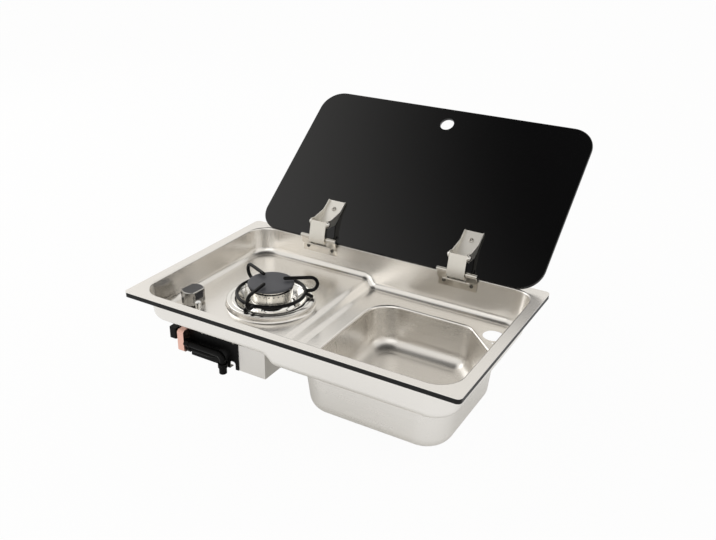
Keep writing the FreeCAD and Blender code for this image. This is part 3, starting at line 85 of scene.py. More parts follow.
backward = Vector((math.sin(AZIMUTH) * math.cos(ELEVATION), -math.cos(AZIMUTH) * math.cos(ELEVATION),
                   math.sin(ELEVATION)))
level = (-backward).cross(Vector((0, 0, 1))).normalized()
upright = level.cross(-backward)
rightward = level * math.cos(ROLL) + upright * math.sin(ROLL)
upward = upright * math.cos(ROLL) - level * math.sin(ROLL)
camera_data = bpy.data.cameras.new("camera")
camera_data.sensor_width = SENSOR_WIDTH
camera_data.lens = FOCAL_PIXELS * SENSOR_WIDTH / IMAGE_WIDTH
camera_data.clip_end = FAR_CLIP
camera = bpy.data.objects.new("camera", camera_data)
bpy.context.scene.collection.objects.link(camera)
place = TARGET + backward * DISTANCE
camera.matrix_world = Matrix((
    (rightward.x, upward.x, backward.x, place.x),
    (rightward.y, upward.y, backward.y, place.y),
    (rightward.z, upward.z, backward.z, place.z),
    (0, 0, 0, 1),
))
bpy.context.scene.camera = camera
print("lens", round(camera_data.lens, 2), "mm, camera at", [round(v, 3) for v in place])

# %% [markdown]
# ## Colours and nodes
# Paint charts and screens give colours as sRGB hex values, while the renderer works in linear light, so one
# function converts them. One more function adds a shader node, sets its properties and sockets, and links what
# it is given, which keeps every material below short.

# %% Colour and node helpers
def linear(hex_colour):
    """sRGB hex to linear light: below 0.04045 a straight line, above it a power of 2.4."""
    part = np.array([int(hex_colour[i:i + 2], 16) for i in (1, 3, 5)]) / 255
    light = np.where(part <= 0.04045, part / 12.92, ((part + 0.055) / 1.055) ** 2.4)
    return (*light.tolist(), 1.0)


def add(tree, kind, sockets=None, **settings):
    """Add a node; a socket gets a value, or a link when it is given as (node, output)."""
    made = tree.nodes.new(kind)
    for name, value in settings.items():
        setattr(made, name, value)
    for name, value in (sockets or {}).items():
        if isinstance(value, tuple) and isinstance(value[0], bpy.types.Node):
            tree.links.new(value[0].outputs[value[1]], made.inputs[name])
        else:
            made.inputs[name].default_value = value
    return made


def start_material(name):
    """New material with an empty node tree and its output node."""
    material = bpy.data.materials.new(name)
    material.use_nodes = True
    material.node_tree.nodes.clear()
    output = add(material.node_tree, "ShaderNodeOutputMaterial")
    return material, material.node_tree, output


def close_material(tree, output, shader):
    """Link the finished shader to the output."""
    tree.links.new(shader.outputs[0], output.inputs["Surface"])


print("middle grey in linear light", [round(v, 3) for v in linear("#808080")])

# %% [markdown]
# ## Floor
# The unit is shown alone on white. A large pale floor fills the picture behind it: to the eye it is nearly all
# white, while a mirror sees white far from the unit and a shade painted under it, so that steel near the floor
# darkens as it does on a table. A backdrop could be bent up behind the unit, but a floor that runs to the horizon
# looks the same from every side.

# %% Floor
FLOOR_Z = cad_low.z - 1.0 * MM
FLOOR_REACH = 14.0  # metres to each side
SHADE_HALF_X, SHADE_HALF_Y = 0.42, 0.36  # half axes of the patch of painted shade under the unit
SHADE_BACK = 0.14  # its middle lies this share of the half axis towards the hinges
SHADE_EDGE = (0.55, 1.15)  # the painted shade lifts between these, in half axes
MIRRORED_WHITE = (0.12, 0.88)  # share of white that a mirror sees in the painted shade and away from it
WHITE_TO_EYE = 0.95

floor_mesh = bpy.data.meshes.new("floor")
corner = np.array([(-1, -1), (1, -1), (1, 1), (-1, 1)]) * FLOOR_REACH
floor_mesh.from_pydata(np.c_[corner, np.full(4, FLOOR_Z)].tolist(), [], [(0, 1, 2, 3)])
floor = bpy.data.objects.new("floor", floor_mesh)
bpy.context.scene.collection.objects.link(floor)
# Pale paper: plain white to the eye, with the soft shadow of the unit on it.
material, tree, output = start_material("pale_paper_floor")
paper = add(tree, "ShaderNodeBsdfDiffuse", {"Color": linear("#f7f7f5")})
glow = add(tree, "ShaderNodeEmission", {"Color": linear("#ffffff"), "Strength": 1.0})
path = add(tree, "ShaderNodeLightPath")
mirrored = add(tree, "ShaderNodeMath", {0: (path, "Is Glossy Ray"), 1: (path, "Is Transmission Ray")},
               operation="MAXIMUM")
place_on_floor = add(tree, "ShaderNodeTexCoord")
spread_out = add(tree, "ShaderNodeMapping", {"Vector": (place_on_floor, "Object"), "Location": (0, -SHADE_BACK, 0),
                                             "Scale": (1 / SHADE_HALF_X, 1 / SHADE_HALF_Y, 0)})
away = add(tree, "ShaderNodeVectorMath", {0: (spread_out, 0)}, operation="LENGTH")
# Painted shade: by place on the floor alone, a mirror sees less white under the unit than away from it.
mirrored_white_painted_shade = add(tree, "ShaderNodeMapRange", {
    "Value": (away, "Value"), "From Min": SHADE_EDGE[0], "From Max": SHADE_EDGE[1],
    "To Min": MIRRORED_WHITE[0], "To Max": MIRRORED_WHITE[1]}, interpolation_type="SMOOTHSTEP")
mirrored = add(tree, "ShaderNodeMath", {0: (mirrored, 0), 1: (mirrored_white_painted_shade, 0)}, operation="MULTIPLY")
seen = add(tree, "ShaderNodeMath", {0: (path, "Is Camera Ray"), 1: WHITE_TO_EYE}, operation="MULTIPLY")
share = add(tree, "ShaderNodeMath", {0: (seen, 0), 1: (mirrored, 0)}, operation="MAXIMUM")
close_material(tree, output, add(tree, "ShaderNodeMixShader", {0: (share, 0), 1: (paper, 0), 2: (glow, 0)}))
floor_mesh.materials.append(material)
print("floor at", round(FLOOR_Z, 4))

# %% [markdown]
# ## Light
# Steel has little colour of its own and shows what stands round it, so the surroundings do most of the work. They
# are a bright room with a dark patch overhead: steel shows the bright walls, and the glass lid, which looks up,
# shows the edge of the dark patch and fades to black. Lamps alone could light the unit, but each would leave a hard
# spot in the steel, so only two broad ones add a little direction.

# %% Light
PATCH_AXIS = Vector((0.05, 0.05, 1.0)).normalized()
PATCH_EDGE = (0.765, 0.94)  # cosine of the angle from the axis where the patch starts and where it is full
ROOM_STRENGTH, PATCH_STRENGTH = 0.94, 0.06

world = bpy.data.worlds.new("studio")
bpy.context.scene.world = world
world.use_nodes = True
tree = world.node_tree
tree.nodes.clear()
direction = add(tree, "ShaderNodeTexCoord")
overhead = add(tree, "ShaderNodeVectorMath", {0: (direction, "Generated"), 1: PATCH_AXIS}, operation="DOT_PRODUCT")
brightness = add(tree, "ShaderNodeMapRange", {
    "Value": (overhead, "Value"), "From Min": PATCH_EDGE[0], "From Max": PATCH_EDGE[1],
    "To Min": ROOM_STRENGTH, "To Max": PATCH_STRENGTH}, interpolation_type="SMOOTHSTEP")
sky = add(tree, "ShaderNodeBackground", {"Color": linear("#fffdfa"), "Strength": (brightness, "Result")})
tree.links.new(sky.outputs[0], add(tree, "ShaderNodeOutputWorld").inputs["Surface"])


def softbox(name, at, size, power):
    """Square lamp at a point, turned to the origin."""
    lamp = bpy.data.lights.new(name, "AREA")
    lamp.shape = "SQUARE"
    lamp.size = size
    lamp.energy = power
    made = bpy.data.objects.new(name, lamp)
    bpy.context.scene.collection.objects.link(made)
    made.location = at
    made.rotation_euler = (-Vector(at)).to_track_quat("-Z", "Y").to_euler()


softbox("left_softbox", at=(-2.3, 0.3, 1.3), size=1.8, power=12)
softbox("front_softbox", at=(0.6, -2.6, 1.0), size=2.4, power=10)
bpy.context.scene.view_settings.view_transform = "Standard"

# %% [markdown]
# ## How a surface varies
# No real surface is the same all over: handling and polishing leave broad clouds, and the tool leaves a fine grain.
# An image could hold both, but noise has no seams and no end. A fine noise and a cloud are mixed, and the mix moves
# the tint and the roughness a little, while the fine noise alone raises the surface.

# %% Varied shader
NOISE_LOW, NOISE_HIGH = 0.3, 0.7  # nearly all values of a noise lie between these
RELIEF_DEPTH = 0.2 * MM


def varied_shader(tree, position, fine, cloud_mm, cloud_share, colour, roughness, spread, tint, bump, **sockets):
    """Shader with roughness plus or minus spread, and a colour darkened by up to tint, as the mixed noise says."""
    cloud = add(tree, "ShaderNodeTexNoise", {"Vector": (position, "Object"), "Scale": 1 / (cloud_mm * MM),
                                             "Detail": 2.0})
    both = add(tree, "ShaderNodeMix", {"Factor": cloud_share, 2: (fine, 0), 3: (cloud, 0)})
    rough = add(tree, "ShaderNodeMapRange", {"Value": (both, 0), "From Min": NOISE_LOW, "From Max": NOISE_HIGH,
                                             "To Min": roughness - spread, "To Max": roughness + spread})
    light = linear(colour)
    dark = tuple(c * (1 - tint) for c in light[:3]) + (1.0,)
    shade = add(tree, "ShaderNodeMix", {"Factor": (both, 0), 6: dark, 7: light}, data_type="RGBA")
    relief = add(tree, "ShaderNodeBump", {"Strength": bump, "Distance": RELIEF_DEPTH, "Height": (fine, 0)})
    return add(tree, "ShaderNodeBsdfPrincipled", {"Base Color": (shade, 2), "Roughness": (rough, 0),
                                                  "Normal": (relief, 0), **sockets})


print("noise from", NOISE_LOW, "to", NOISE_HIGH, "relief", RELIEF_DEPTH / MM, "mm")

# %% [markdown]
# ## Brushed and polished steel
# The tray and bowl are stainless sheet with a satin brushed face: fine parallel scratches give soft reflections
# that are drawn out across the scratches. A noise that is stretched a hundredfold stands for them. The sheet was
# brushed before it was pressed, so the scratches run along X on the floors and on the long walls, and down the
# two end walls, which the normal tells apart. Real scratches are about 0.1 mm wide, too fine for this picture,
# so they are drawn 0.6 mm wide, with broad faint bands of 6 mm among them.

# %% Metal finishes
METAL_CLOUD_MM, METAL_CLOUD_SHARE = 60, 0.35
SCRATCHES_MM = ((0.6, 150), (6.0, 700))  # width and length of the fine scratches and of the broad bands
BAND_SHARE = 0.3
END_WALL = (0.6, 0.8)  # share of the normal along X from which a face counts as an end wall


def stretched_noise(tree, position, along, streak_mm, length_mm):
    """Noise whose grain is streak_mm wide and length_mm long, along one axis of the object."""
    scale = [1 / (length_mm * MM) if axis == along else 1 / (streak_mm * MM) for axis in "XYZ"]
    drawn = add(tree, "ShaderNodeMapping", {"Vector": (position, "Object"), "Scale": scale})
    return add(tree, "ShaderNodeTexNoise", {"Vector": (drawn, 0), "Scale": 1.0, "Detail": 3.0})


def finish_metal(tree, output, position, streak, *look):
    """Metal with streaks and finger-wide clouds; look is colour, roughness, spread, tint and bump."""
    close_material(tree, output, varied_shader(tree, position, streak, METAL_CLOUD_MM, METAL_CLOUD_SHARE, *look,
                                               Metallic=1.0))


def metal(name, colour, roughness, streak_mm, length_mm, spread, tint, along="X", bump=0.02):
    """Metal drawn or turned one way: one stretched noise."""
    material, tree, output = start_material(name)
    position = add(tree, "ShaderNodeTexCoord")
    streak = stretched_noise(tree, position, along, streak_mm, length_mm)
    finish_metal(tree, output, position, streak, colour, roughness, spread, tint, bump)
    return material


def brushed_sheet(name, colour, roughness, spread, tint, bump):
    """Pressed sheet: fine and broad streaks along X, but along Z where the normal lies along X."""
    material, tree, output = start_material(name)
    position = add(tree, "ShaderNodeTexCoord")
    faces = add(tree, "ShaderNodeSeparateXYZ", {0: (position, "Normal")})
    sideways = add(tree, "ShaderNodeMath", {0: (faces, "X")}, operation="ABSOLUTE")
    end_wall = add(tree, "ShaderNodeMapRange", {"Value": (sideways, 0), "From Min": END_WALL[0],
                                                "From Max": END_WALL[1]})
    lines = []
    for streak_mm, length_mm in SCRATCHES_MM:
        flat = stretched_noise(tree, position, "X", streak_mm, length_mm)
        steep = stretched_noise(tree, position, "Z", streak_mm, length_mm)
        lines.append(add(tree, "ShaderNodeMix", {"Factor": (end_wall, 0), 2: (flat, 0), 3: (steep, 0)}))
    streak = add(tree, "ShaderNodeMix", {"Factor": BAND_SHARE, 2: (lines[0], 0), 3: (lines[1], 0)})
    finish_metal(tree, output, position, streak, colour, roughness, spread, tint, bump)
    return material


print("scratches", SCRATCHES_MM, "mm wide and long, clouds", METAL_CLOUD_MM, "mm")

# %% [markdown]
# ## The metals of the unit
# Stainless sheet, plated steel, chrome, copper and brass differ in three things that the eye reads: colour, how sharp
# a reflection is, and how much it varies. Each could have its own node tree, but the same tree with other numbers
# keeps them comparable. A metal keeps the default index of refraction.

# %% Metals
# Numbers of a sheet: roughness, its spread, tint and bump.
# Satin sheet: soft pale reflections with faint lines along the tray.
satin_steel = brushed_sheet("brushed_stainless_sheet", "#ebe8e3", 0.25, 0.03, 0.035, 0.012)
# The same sheet, stretched by drawing: a little duller, with fainter lines.
bowl_steel = brushed_sheet("brushed_stainless_bowl", "#e4e1dc", 0.28, 0.022, 0.022, 0.008)
# Rolled sheet without a satin face: plain grey with blurred reflections.
guard_steel = brushed_sheet("bright_rolled_sheet", "#dcd9d4", 0.36, 0.06, 0.08, 0.04)

# Numbers of the others: roughness, width and length of a streak in millimetres, spread and tint.
# Polished waste fittings: clear reflections at the bottom of the bowl.
bright_steel = metal("polished_stainless", "#eceae6", 0.14, 2.0, 30, 0.03, 0.05, bump=0.005)
# Spun sheet: bright rings that mirror the black wire.
drip_steel = metal("spun_stainless", "#eceae5", 0.15, 1.0, 40, 0.04, 0.06, bump=0.01)
# Plated hinge arms: smooth and warm white.
hinge_nickel = metal("bright_nickel_plate", "#dcd8cf", 0.16, 0.7, 25, 0.04, 0.06, along="Z", bump=0.01)
# Polished plate: clear reflections that set the knuckles off from the gaps.
base_nickel = metal("polished_nickel_plate", "#d4d0c8", 0.06, 0.7, 12, 0.02, 0.08, bump=0.006)
# Blasted plate: an even pale grey that stays bright from all sides.
bracket_nickel = metal("blasted_nickel_plate", "#efece5", 0.46, 0.6, 0.9, 0.06, 0.10, bump=0.10)
# Zinc plate: small glints on pins and rivets.
zinc = metal("zinc_plated_steel", "#d6d4cf", 0.17, 1.5, 3, 0.04, 0.10)
# Dark grey steel: dark dots at the corners of the hinge bases.
dark_steel = metal("dark_grey_screw_steel", "#5f5c56", 0.24, 1.5, 3, 0.05, 0.12)
# Dull zinc: grey heads that stand out from their plates.
screw_zinc = metal("grey_zinc_plate", "#b9b6af", 0.18, 1.5, 3, 0.05, 0.12)
# Mirror finish of the crown: it shows the cap, the wire and the dish.
crown_steel = metal("mirror_stainless", "#f3f1ed", 0.07, 1.0, 30, 0.02, 0.04, bump=0.004)
# Chrome: hard white and black reflections on the igniter's button.
chrome = metal("bright_chrome", "#e8e8e6", 0.06, 2.0, 20, 0.02, 0.04, along="Z", bump=0.003)
# Brushed chrome: dark upright stripes of painted reflection round the knob.
knob_chrome_painted_stripes = metal("brushed_chrome_painted_stripes", "#d2d0cc", 0.16, 1.4, 60, 0.06, 0.62, along="Z", bump=0.02)
# Machined copper alloy: a pale pink, the one warm colour of the unit.
copper = metal("machined_copper_alloy", "#f5c6b6", 0.34, 0.8, 12, 0.07, 0.22)
# Turned brass: dull yellow, deep in the burner and in the tap.
brass = metal("turned_brass", "#c9a45a", 0.28, 0.8, 8, 0.06, 0.15)
# Sand casting: grainy grey under the burner.
cast_alloy = metal("sand_cast_aluminium", "#b5b4b0", 0.52, 1.2, 1.6, 0.10, 0.22, bump=0.25)
print("metals", [m.name for m in (satin_steel, bright_steel, hinge_nickel, chrome, copper)])

# %% [markdown]
# ## Rubber, enamel, plastic, ceramic and glass
# These are all non-metals: a dark or pale base with a skin that differs in grain. Rubber and moulded plastic
# have a fine matt grain, enamel a slight orange peel, ceramic a smooth glaze. The lid is toughened glass with a
# black enamelled back, so its face is a mirror-smooth dielectric over black.

# %% Non-metal finishes
SKIN_CLOUD_MM, SKIN_CLOUD_SHARE = 40, 0.4


def skin(name, colour, roughness, grain_mm, spread, tint, bump, ior=1.5):
    """Non-metal whose fine grain is a noise at a size in millimetres."""
    material, tree, output = start_material(name)
    position = add(tree, "ShaderNodeTexCoord")
    grain = add(tree, "ShaderNodeTexNoise", {"Vector": (position, "Object"), "Scale": 1 / (grain_mm * MM),
                                             "Detail": 2.0})
    close_material(tree, output, varied_shader(tree, position, grain, SKIN_CLOUD_MM, SKIN_CLOUD_SHARE, colour,
                                               roughness, spread, tint, bump, IOR=ior))
    return material


# Numbers: roughness, grain in millimetres, spread, tint and bump.
# Sealing rubber: a black line under the rim with a faint gleam.
rim_rubber = skin("black_sealing_rubber", "#0c0c0b", 0.42, 1.2, 0.08, 0.25, 0.12, ior=1.3)
# Gasket rubber: dull black without a gleam.
soft_rubber = skin("black_gasket_rubber", "#171716", 0.60, 1.0, 0.08, 0.25, 0.15)
# Moulded waste: dark grey with a soft sheen.
waste_plastic = skin("black_polypropylene", "#232326", 0.45, 0.8, 0.06, 0.2, 0.10)
# Matt enamel of the cap: flat grey without a highlight.
cap_enamel = skin("matt_grey_enamel", "#525358", 0.55, 0.7, 0.06, 0.18, 0.10)
# Wire enamel: deep black with thin highlights along the wire.
wire_enamel = skin("black_wire_enamel", "#060606", 0.24, 1.2, 0.06, 0.2, 0.10, ior=1.26)
# Stove paint: a black in which pipes and plate hardly part.
black_paint = skin("black_stove_paint", "#070707", 0.45, 1.0, 0.08, 0.25, 0.12, ior=1.2)
# Moulded inlay: dark and slightly glossy against the chrome.
knob_plastic = skin("dark_knob_inlay", "#27282d", 0.30, 0.5, 0.05, 0.15, 0.05)
# Moulded igniter and cap nuts: black with a soft gleam.
igniter_plastic = skin("black_igniter_plastic", "#161617", 0.40, 0.6, 0.06, 0.2, 0.08)
# Glazed ceramic: a creamy white post.
probe_ceramic = skin("glazed_alumina", "#efece2", 0.25, 0.8, 0.05, 0.05, 0.03, ior=1.6)
# Glass over black enamel: a black mirror.
lid_black = skin("black_enamelled_glass", "#070708", 0.035, 40.0, 0.012, 0.2, 0.0)
print("skins", [m.name for m in (rim_rubber, cap_enamel, wire_enamel, lid_black)])

# %% [markdown]
# ## Dressing the solids
# Each solid of the frame takes the finish of the real piece. The finishes could be set one solid at a time, but a
# table from finish to solids shows what is made of what, and a solid that was missed is printed.

# %% Finishes by node
finishes = {
    satin_steel: ["top_deck"],
    bowl_steel: ["sink_bowl"],
    guard_steel: ["burner_guard"],
    drip_steel: ["drip_ring"],
    bright_steel: ["drain_flange", "drain_strainer"],
    crown_steel: ["burner_crown"],
    hinge_nickel: ["hinge_arm_left", "hinge_arm_right"],
    base_nickel: ["hinge_base_left", "hinge_base_right"],
    bracket_nickel: ["lid_bracket_left", "lid_bracket_right"],
    zinc: ["hinge_pin_left", "hinge_pin_right", "hinge_base_screws", "hinge_rivets", "lid_screws",
           "burner_base_screws", "valve_plate_screws", "valve_spindle", "thermocouple", "spark_wire"],
    knob_chrome_painted_stripes: ["control_knob"],
    chrome: ["igniter_button"],
    copper: ["gas_block"],
    brass: ["injector", "valve_plug"],
    cast_alloy: ["burner_base"],
    rim_rubber: ["rim_seal"],
    soft_rubber: ["drain_gasket", "knob_bezel", "bracket_pads"],
    waste_plastic: ["drain_nut", "drain_body"],
    cap_enamel: ["burner_cap"],
    wire_enamel: ["pan_support"],
    black_paint: ["valve_plate", "valve_body", "inlet_pipe", "inlet_nozzle", "feed_pipe", "pipe_nuts"],
    knob_plastic: ["knob_inlay"],
    igniter_plastic: ["igniter_body", "igniter_nut", "lid_caps"],
    probe_ceramic: ["spark_electrode"],
    lid_black: ["lid_glass"],
}
for finish, names in finishes.items():
    for name in names:
        mesh = nodes[name].data
        mesh.materials.clear()
        mesh.materials.append(finish)
dressed = {name for names in finishes.values() for name in names}
print("dressed", len(dressed), "bare", sorted(set(nodes) - dressed))

# %% [markdown]
# ## New pieces
# The pieces below are surfaces on a grid of rows and columns. A grid of rings that closes in a point at each end
# makes a screw or a wire, and a grid that runs round in both directions makes a ring or a bead. Blender's own
# primitives could start them, but a formula gives every point at once. One function puts a surface into the scene,
# on the body that it moves with.

# %% Grids and pieces
def closed_rows(rows, columns):
    """Faces of a surface of rings: a fan at each pole, and quads between one ring and the next."""
    ring, step = np.meshgrid(np.arange(rows - 1), np.arange(columns), indexing="ij")
    here = 1 + ring * columns + step
    beside = 1 + ring * columns + (step + 1) % columns
    quads = np.stack([here, here + columns, beside + columns, beside], axis=-1).reshape(-1, 4)
    step = np.arange(columns)
    after = (step + 1) % columns
    last = 1 + (rows - 1) * columns
    top = np.stack([np.zeros(columns, int), 1 + step, 1 + after], axis=-1)
    tip = np.stack([np.full(columns, last + columns), last + after, last + step], axis=-1)
    return top.tolist() + quads.tolist() + tip.tolist()


def endless_rows(rows, columns):
    """Faces of a grid that runs round both ways: quads to the next column and the next row, the last to the first."""
    row, step = np.meshgrid(np.arange(rows), np.arange(columns), indexing="ij")
    next_row, next_step = (row + 1) % rows, (step + 1) % columns
    return np.stack([row * columns + step, row * columns + next_step, next_row * columns + next_step,
                     next_row * columns + step], axis=-1).reshape(-1, 4)


def round_angles(columns):
    """Even angles of one full turn."""
    return np.arange(columns) * 2 * np.pi / columns


def joined(parts):
    """Several surfaces as one: the face numbers of each go up by the points that come before it."""
    starts = np.cumsum([0] + [len(points) for points, _ in parts]).tolist()
    faces = [[index + start for index in face] for start, (_, each) in zip(starts, parts) for face in each]
    return np.concatenate([points for points, _ in parts]), faces


def piece(name, points, faces, finish, body, slot):
    """New mesh object at the origin with smooth faces and one finish, riding on a body."""
    mesh = bpy.data.meshes.new(name)
    mesh.from_pydata(points.tolist(), [], faces)
    mesh.polygons.foreach_set("use_smooth", np.ones(len(mesh.polygons), bool))
    mesh.materials.append(finish)
    made = bpy.data.objects.new(name, mesh)
    bpy.context.scene.collection.objects.link(made)
    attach(made, body)
    return made


print("faces of 3 rings of 8:", len(closed_rows(3, 8)), "with poles,", len(endless_rows(3, 8)), "without")

# %% [markdown]
# ## Screws with a cross recess
# The lid brackets, the hinge bases, the valve plate and the burner base are held by small pan-head screws with a
# cross recess. In the solids they are two plain cylinders. A boolean could cut the cross, but a head has one
# height above each point, so that height is written down instead: a low dome on a polar grid, minus the depth of
# the cross. The same grid goes on over the edge, under the head and down a threaded shank.

# %% Screw surface
HEAD = 2.2 * MM
THREAD_PITCH, THREAD_DEPTH, THREAD_RINGS = 0.7 * MM, 0.3 * MM, 6  # rings of points for each turn of the thread
POINT_LENGTH = 0.4 * MM


def eased(value):
    """Smooth step: 0 below 0, 1 above 1, and 3 v^2 - 2 v^3 between them."""
    value = np.clip(value, 0, 1)
    return value * value * (3 - 2 * value)


def screw_surface(head_r, head, shank_r, shank, columns=72):
    """Screw about +Z with its seat at 0, in metres.

    Head: height is head times (1 - (r / head_r)^3)^(1/3), less the cross, which is as deep as the larger of two
    bars, each a product of two eased edges. Shank: the radius falls and rises once each turn of the thread.
    """
    angle = round_angles(columns)
    across_recess = np.linspace(0.05, 0.64, 22) * head_r
    to_edge = head_r * np.sin(np.linspace(np.arcsin(0.68), np.pi / 2, 9))
    r = np.concatenate([across_recess, to_edge])[:, None] * np.ones(columns)
    x, y = r * np.cos(angle), r * np.sin(angle)
    dome = head * np.cbrt(np.clip(1 - (r / head_r) ** 3, 0, 1))
    half, reach, edge = 0.15 * head_r, 0.60 * head_r, 0.08 * head_r
    bars = [eased((half - abs(a)) / edge + 0.5) * eased((reach - abs(b)) / edge + 0.5) for a, b in ((x, y), (y, x))]
    depth = 0.75 * head * np.maximum(*bars) * (1 - 0.5 * r / reach)
    rings_r, rings_z = [r], [dome - np.clip(depth, 0, None)]
    down = np.linspace(0, shank - POINT_LENGTH, int(THREAD_RINGS * shank / THREAD_PITCH))[:, None]
    turn = 0.5 + 0.5 * np.cos(2 * np.pi * down / THREAD_PITCH - angle)
    rings_r.append(shank_r - THREAD_DEPTH * eased(down / THREAD_PITCH) * turn)
    rings_z.append(-down * np.ones(columns))
    rings_r.append(np.full((1, columns), shank_r - 2 * THREAD_DEPTH))
    rings_z.append(np.full((1, columns), -shank))
    r, z = np.concatenate(rings_r), np.concatenate(rings_z)
    rings = np.stack([r * np.cos(angle), r * np.sin(angle), z], axis=-1).reshape(-1, 3)
    bottom_of_cross = [[0, 0, head * 0.25]]
    points = np.concatenate([bottom_of_cross, rings, [[0, 0, -shank]]])
    return points, closed_rows(len(r), columns)


print("one screw", len(screw_surface(3.5 * MM, HEAD, 2.0 * MM, 6 * MM)[0]), "points")

# %% [markdown]
# ## Seats of the screws
# A screw has to sit where its plain solid sits. The places could be typed in, but the solid holds them already: its
# vertices fall into groups, one for each screw, and a group's middle and highest vertex give the seat. Each head
# is turned a little further than the one before, as a hand leaves them.

# %% Screws in their places
SCREW_GAP = 12 * MM  # vertices that lie further apart than this belong to two screws
FIRST_TURN, MORE_TURN = 0.5, 0.9  # radians
LID_LEAN = math.radians(51.6)  # the open lid's face looks to the front, and up by this angle


def node_points(name):
    """Every vertex of a solid, as one array."""
    mesh = nodes[name].data
    points = np.empty(3 * len(mesh.vertices), np.float32)
    mesh.vertices.foreach_get("co", points)
    return points.reshape(-1, 3).astype(float)


def screw_seats(name, split, outward, head):
    """Middle of each screw's seat: the vertices fall into groups along one axis, one group for each screw.

    Across the screw's axis the middle of a group is the middle of its box. Along the axis the head ends at the
    highest vertex, and the seat lies one head height below it.
    """
    points = node_points(name)
    points = points[np.argsort(points[:, split])]
    groups = np.split(points, np.flatnonzero(np.diff(points[:, split]) > SCREW_GAP) + 1)
    seats, lengths = [], []
    for group in groups:
        along = group @ outward
        across = group - along[:, None] * outward
        middle = (across.min(axis=0) + across.max(axis=0)) / 2
        middle -= (middle @ outward) * outward
        seats.append(middle + (along.max() - head) * outward)
        lengths.append(along.max() - along.min() - head)
    return seats, lengths


# Axis that parts the screws, direction of the head, head and shank radius in millimetres, body and finish.
screw_kinds = {
    "lid_screws": (0, (0, -math.cos(LID_LEAN), math.sin(LID_LEAN)), 4.6, 2.5, "lid", screw_zinc),
    "hinge_base_screws": (0, (0, -1, 0.09), 3.5, 2.0, "tray", dark_steel),
    "valve_plate_screws": (0, (0, -1, 0), 3.5, 2.0, "tray", screw_zinc),
    "burner_base_screws": (1, (0, 0, 1), 3.5, 2.0, "tray", screw_zinc),
}
for name, (split, outward, head_r, shank_r, body, finish) in screw_kinds.items():
    outward = np.array(outward) / np.linalg.norm(outward)
    seats, lengths = screw_seats(name, split, outward, HEAD)
    sideways = np.cross(outward, (1, 0, 0))
    sideways /= np.linalg.norm(sideways)
    screw_axes = np.stack([sideways, np.cross(outward, sideways), outward])
    screws = []
    for number, (seat, length) in enumerate(zip(seats, lengths)):
        points, faces = screw_surface(head_r * MM, HEAD, shank_r * MM, length)
        turn = FIRST_TURN + MORE_TURN * number
        spin = np.array([[math.cos(turn), math.sin(turn), 0], [-math.sin(turn), math.cos(turn), 0], [0, 0, 1]])
        screws.append((seat + points @ spin @ screw_axes, faces))
    made = piece("cross_" + name, *joined(screws), finish, body, "fastener_steel")
    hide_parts(name)
    print(name, len(seats), "screws, shank", [round(length / MM, 2) for length in lengths], "mm")

# %% [markdown]
# ## Drip ring
# Round the burner a spun steel ring lies on the stove floor: a flat brim, a fine groove, and a dish that dips to the
# burner. The solid is a plain drum of the same height. A lathe makes the real ring, so here a profile is turned
# about the burner's axis. Each corner of the profile is a short curve, as spun sheet never has a sharp bend.

# %% Turned ring
TURNED_COLUMNS = 180
DRIP_HEIGHT = 12.0 * MM  # the top of the solid lies this far above the stove floor, where the profile has its zero
SPUN_BEND = 0.6  # millimetres from the start of a bend to its corner
DRIP_PROFILE = [  # radius and height in millimetres: from the brim's edge in along the top, and back underneath
    (76.2, 9.3), (77.0, 9.9), (76.2, 10.7), (69.6, 11.2), (68.9, 10.6), (68.2, 11.4), (63.0, 11.8), (60.0, 10.6),
    (48.0, -4.0), (34.0, -4.0), (34.0, -4.8), (48.4, -4.8), (60.6, 9.7), (63.0, 10.9), (68.2, 10.5), (68.9, 9.8),
    (69.6, 10.4), (75.4, 9.9),
]


def rounded_profile(corners, bend, steps=5):
    """Closed profile whose corners are quadratic curves, from one bend length before a corner to one after it.

    With s from 0 to 1, a point is (1 - s)^2 times the start, 2 s (1 - s) times the corner and s^2 times the end.
    """
    corner = np.array(corners, float)
    before, after = np.roll(corner, 1, axis=0) - corner, np.roll(corner, -1, axis=0) - corner
    run_before, run_after = np.linalg.norm(before, axis=1)[:, None], np.linalg.norm(after, axis=1)[:, None]
    start = corner + before * np.minimum(bend / run_before, 0.45)
    end = corner + after * np.minimum(bend / run_after, 0.45)
    s = np.linspace(0, 1, steps)[None, :, None]
    curve = (1 - s) ** 2 * start[:, None] + 2 * s * (1 - s) * corner[:, None] + s ** 2 * end[:, None]
    return curve.reshape(-1, 2)


def turned_surface(profile, middle, columns):
    """Profile carried round a vertical axis: X and Y are the radius times cosine and sine, Z is the height."""
    angle = round_angles(columns)
    r, z = profile[:, :1], profile[:, 1:]
    points = np.stack([middle[0] + r * np.cos(angle), middle[1] + r * np.sin(angle),
                       middle[2] + z * np.ones(columns)], axis=-1).reshape(-1, 3)
    return points, endless_rows(len(profile), columns).tolist()


ring_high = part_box("drip_ring")[1]
cap_low, cap_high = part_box("burner_cap")
burner_axis = (cap_low + cap_high) / 2
burner_foot = (burner_axis.x, burner_axis.y, ring_high.z - DRIP_HEIGHT)
drip_profile = rounded_profile(DRIP_PROFILE, SPUN_BEND) * MM
drip_points, drip_faces = turned_surface(drip_profile, burner_foot, TURNED_COLUMNS)
drip = piece("turned_drip_ring", drip_points, drip_faces, drip_steel, "tray", "polished_steel")
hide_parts("drip_ring")
print("drip ring", len(drip_points), "points, burner at", [round(v, 4) for v in burner_foot])

# %% [markdown]
# ## Collar under the drip ring
# The stove floor is pressed up into a low collar that carries the ring. It could be pressed into a copy of the whole
# tray, but only its outer fillet shows, so a narrow ring with that fillet is turned about the same axis.

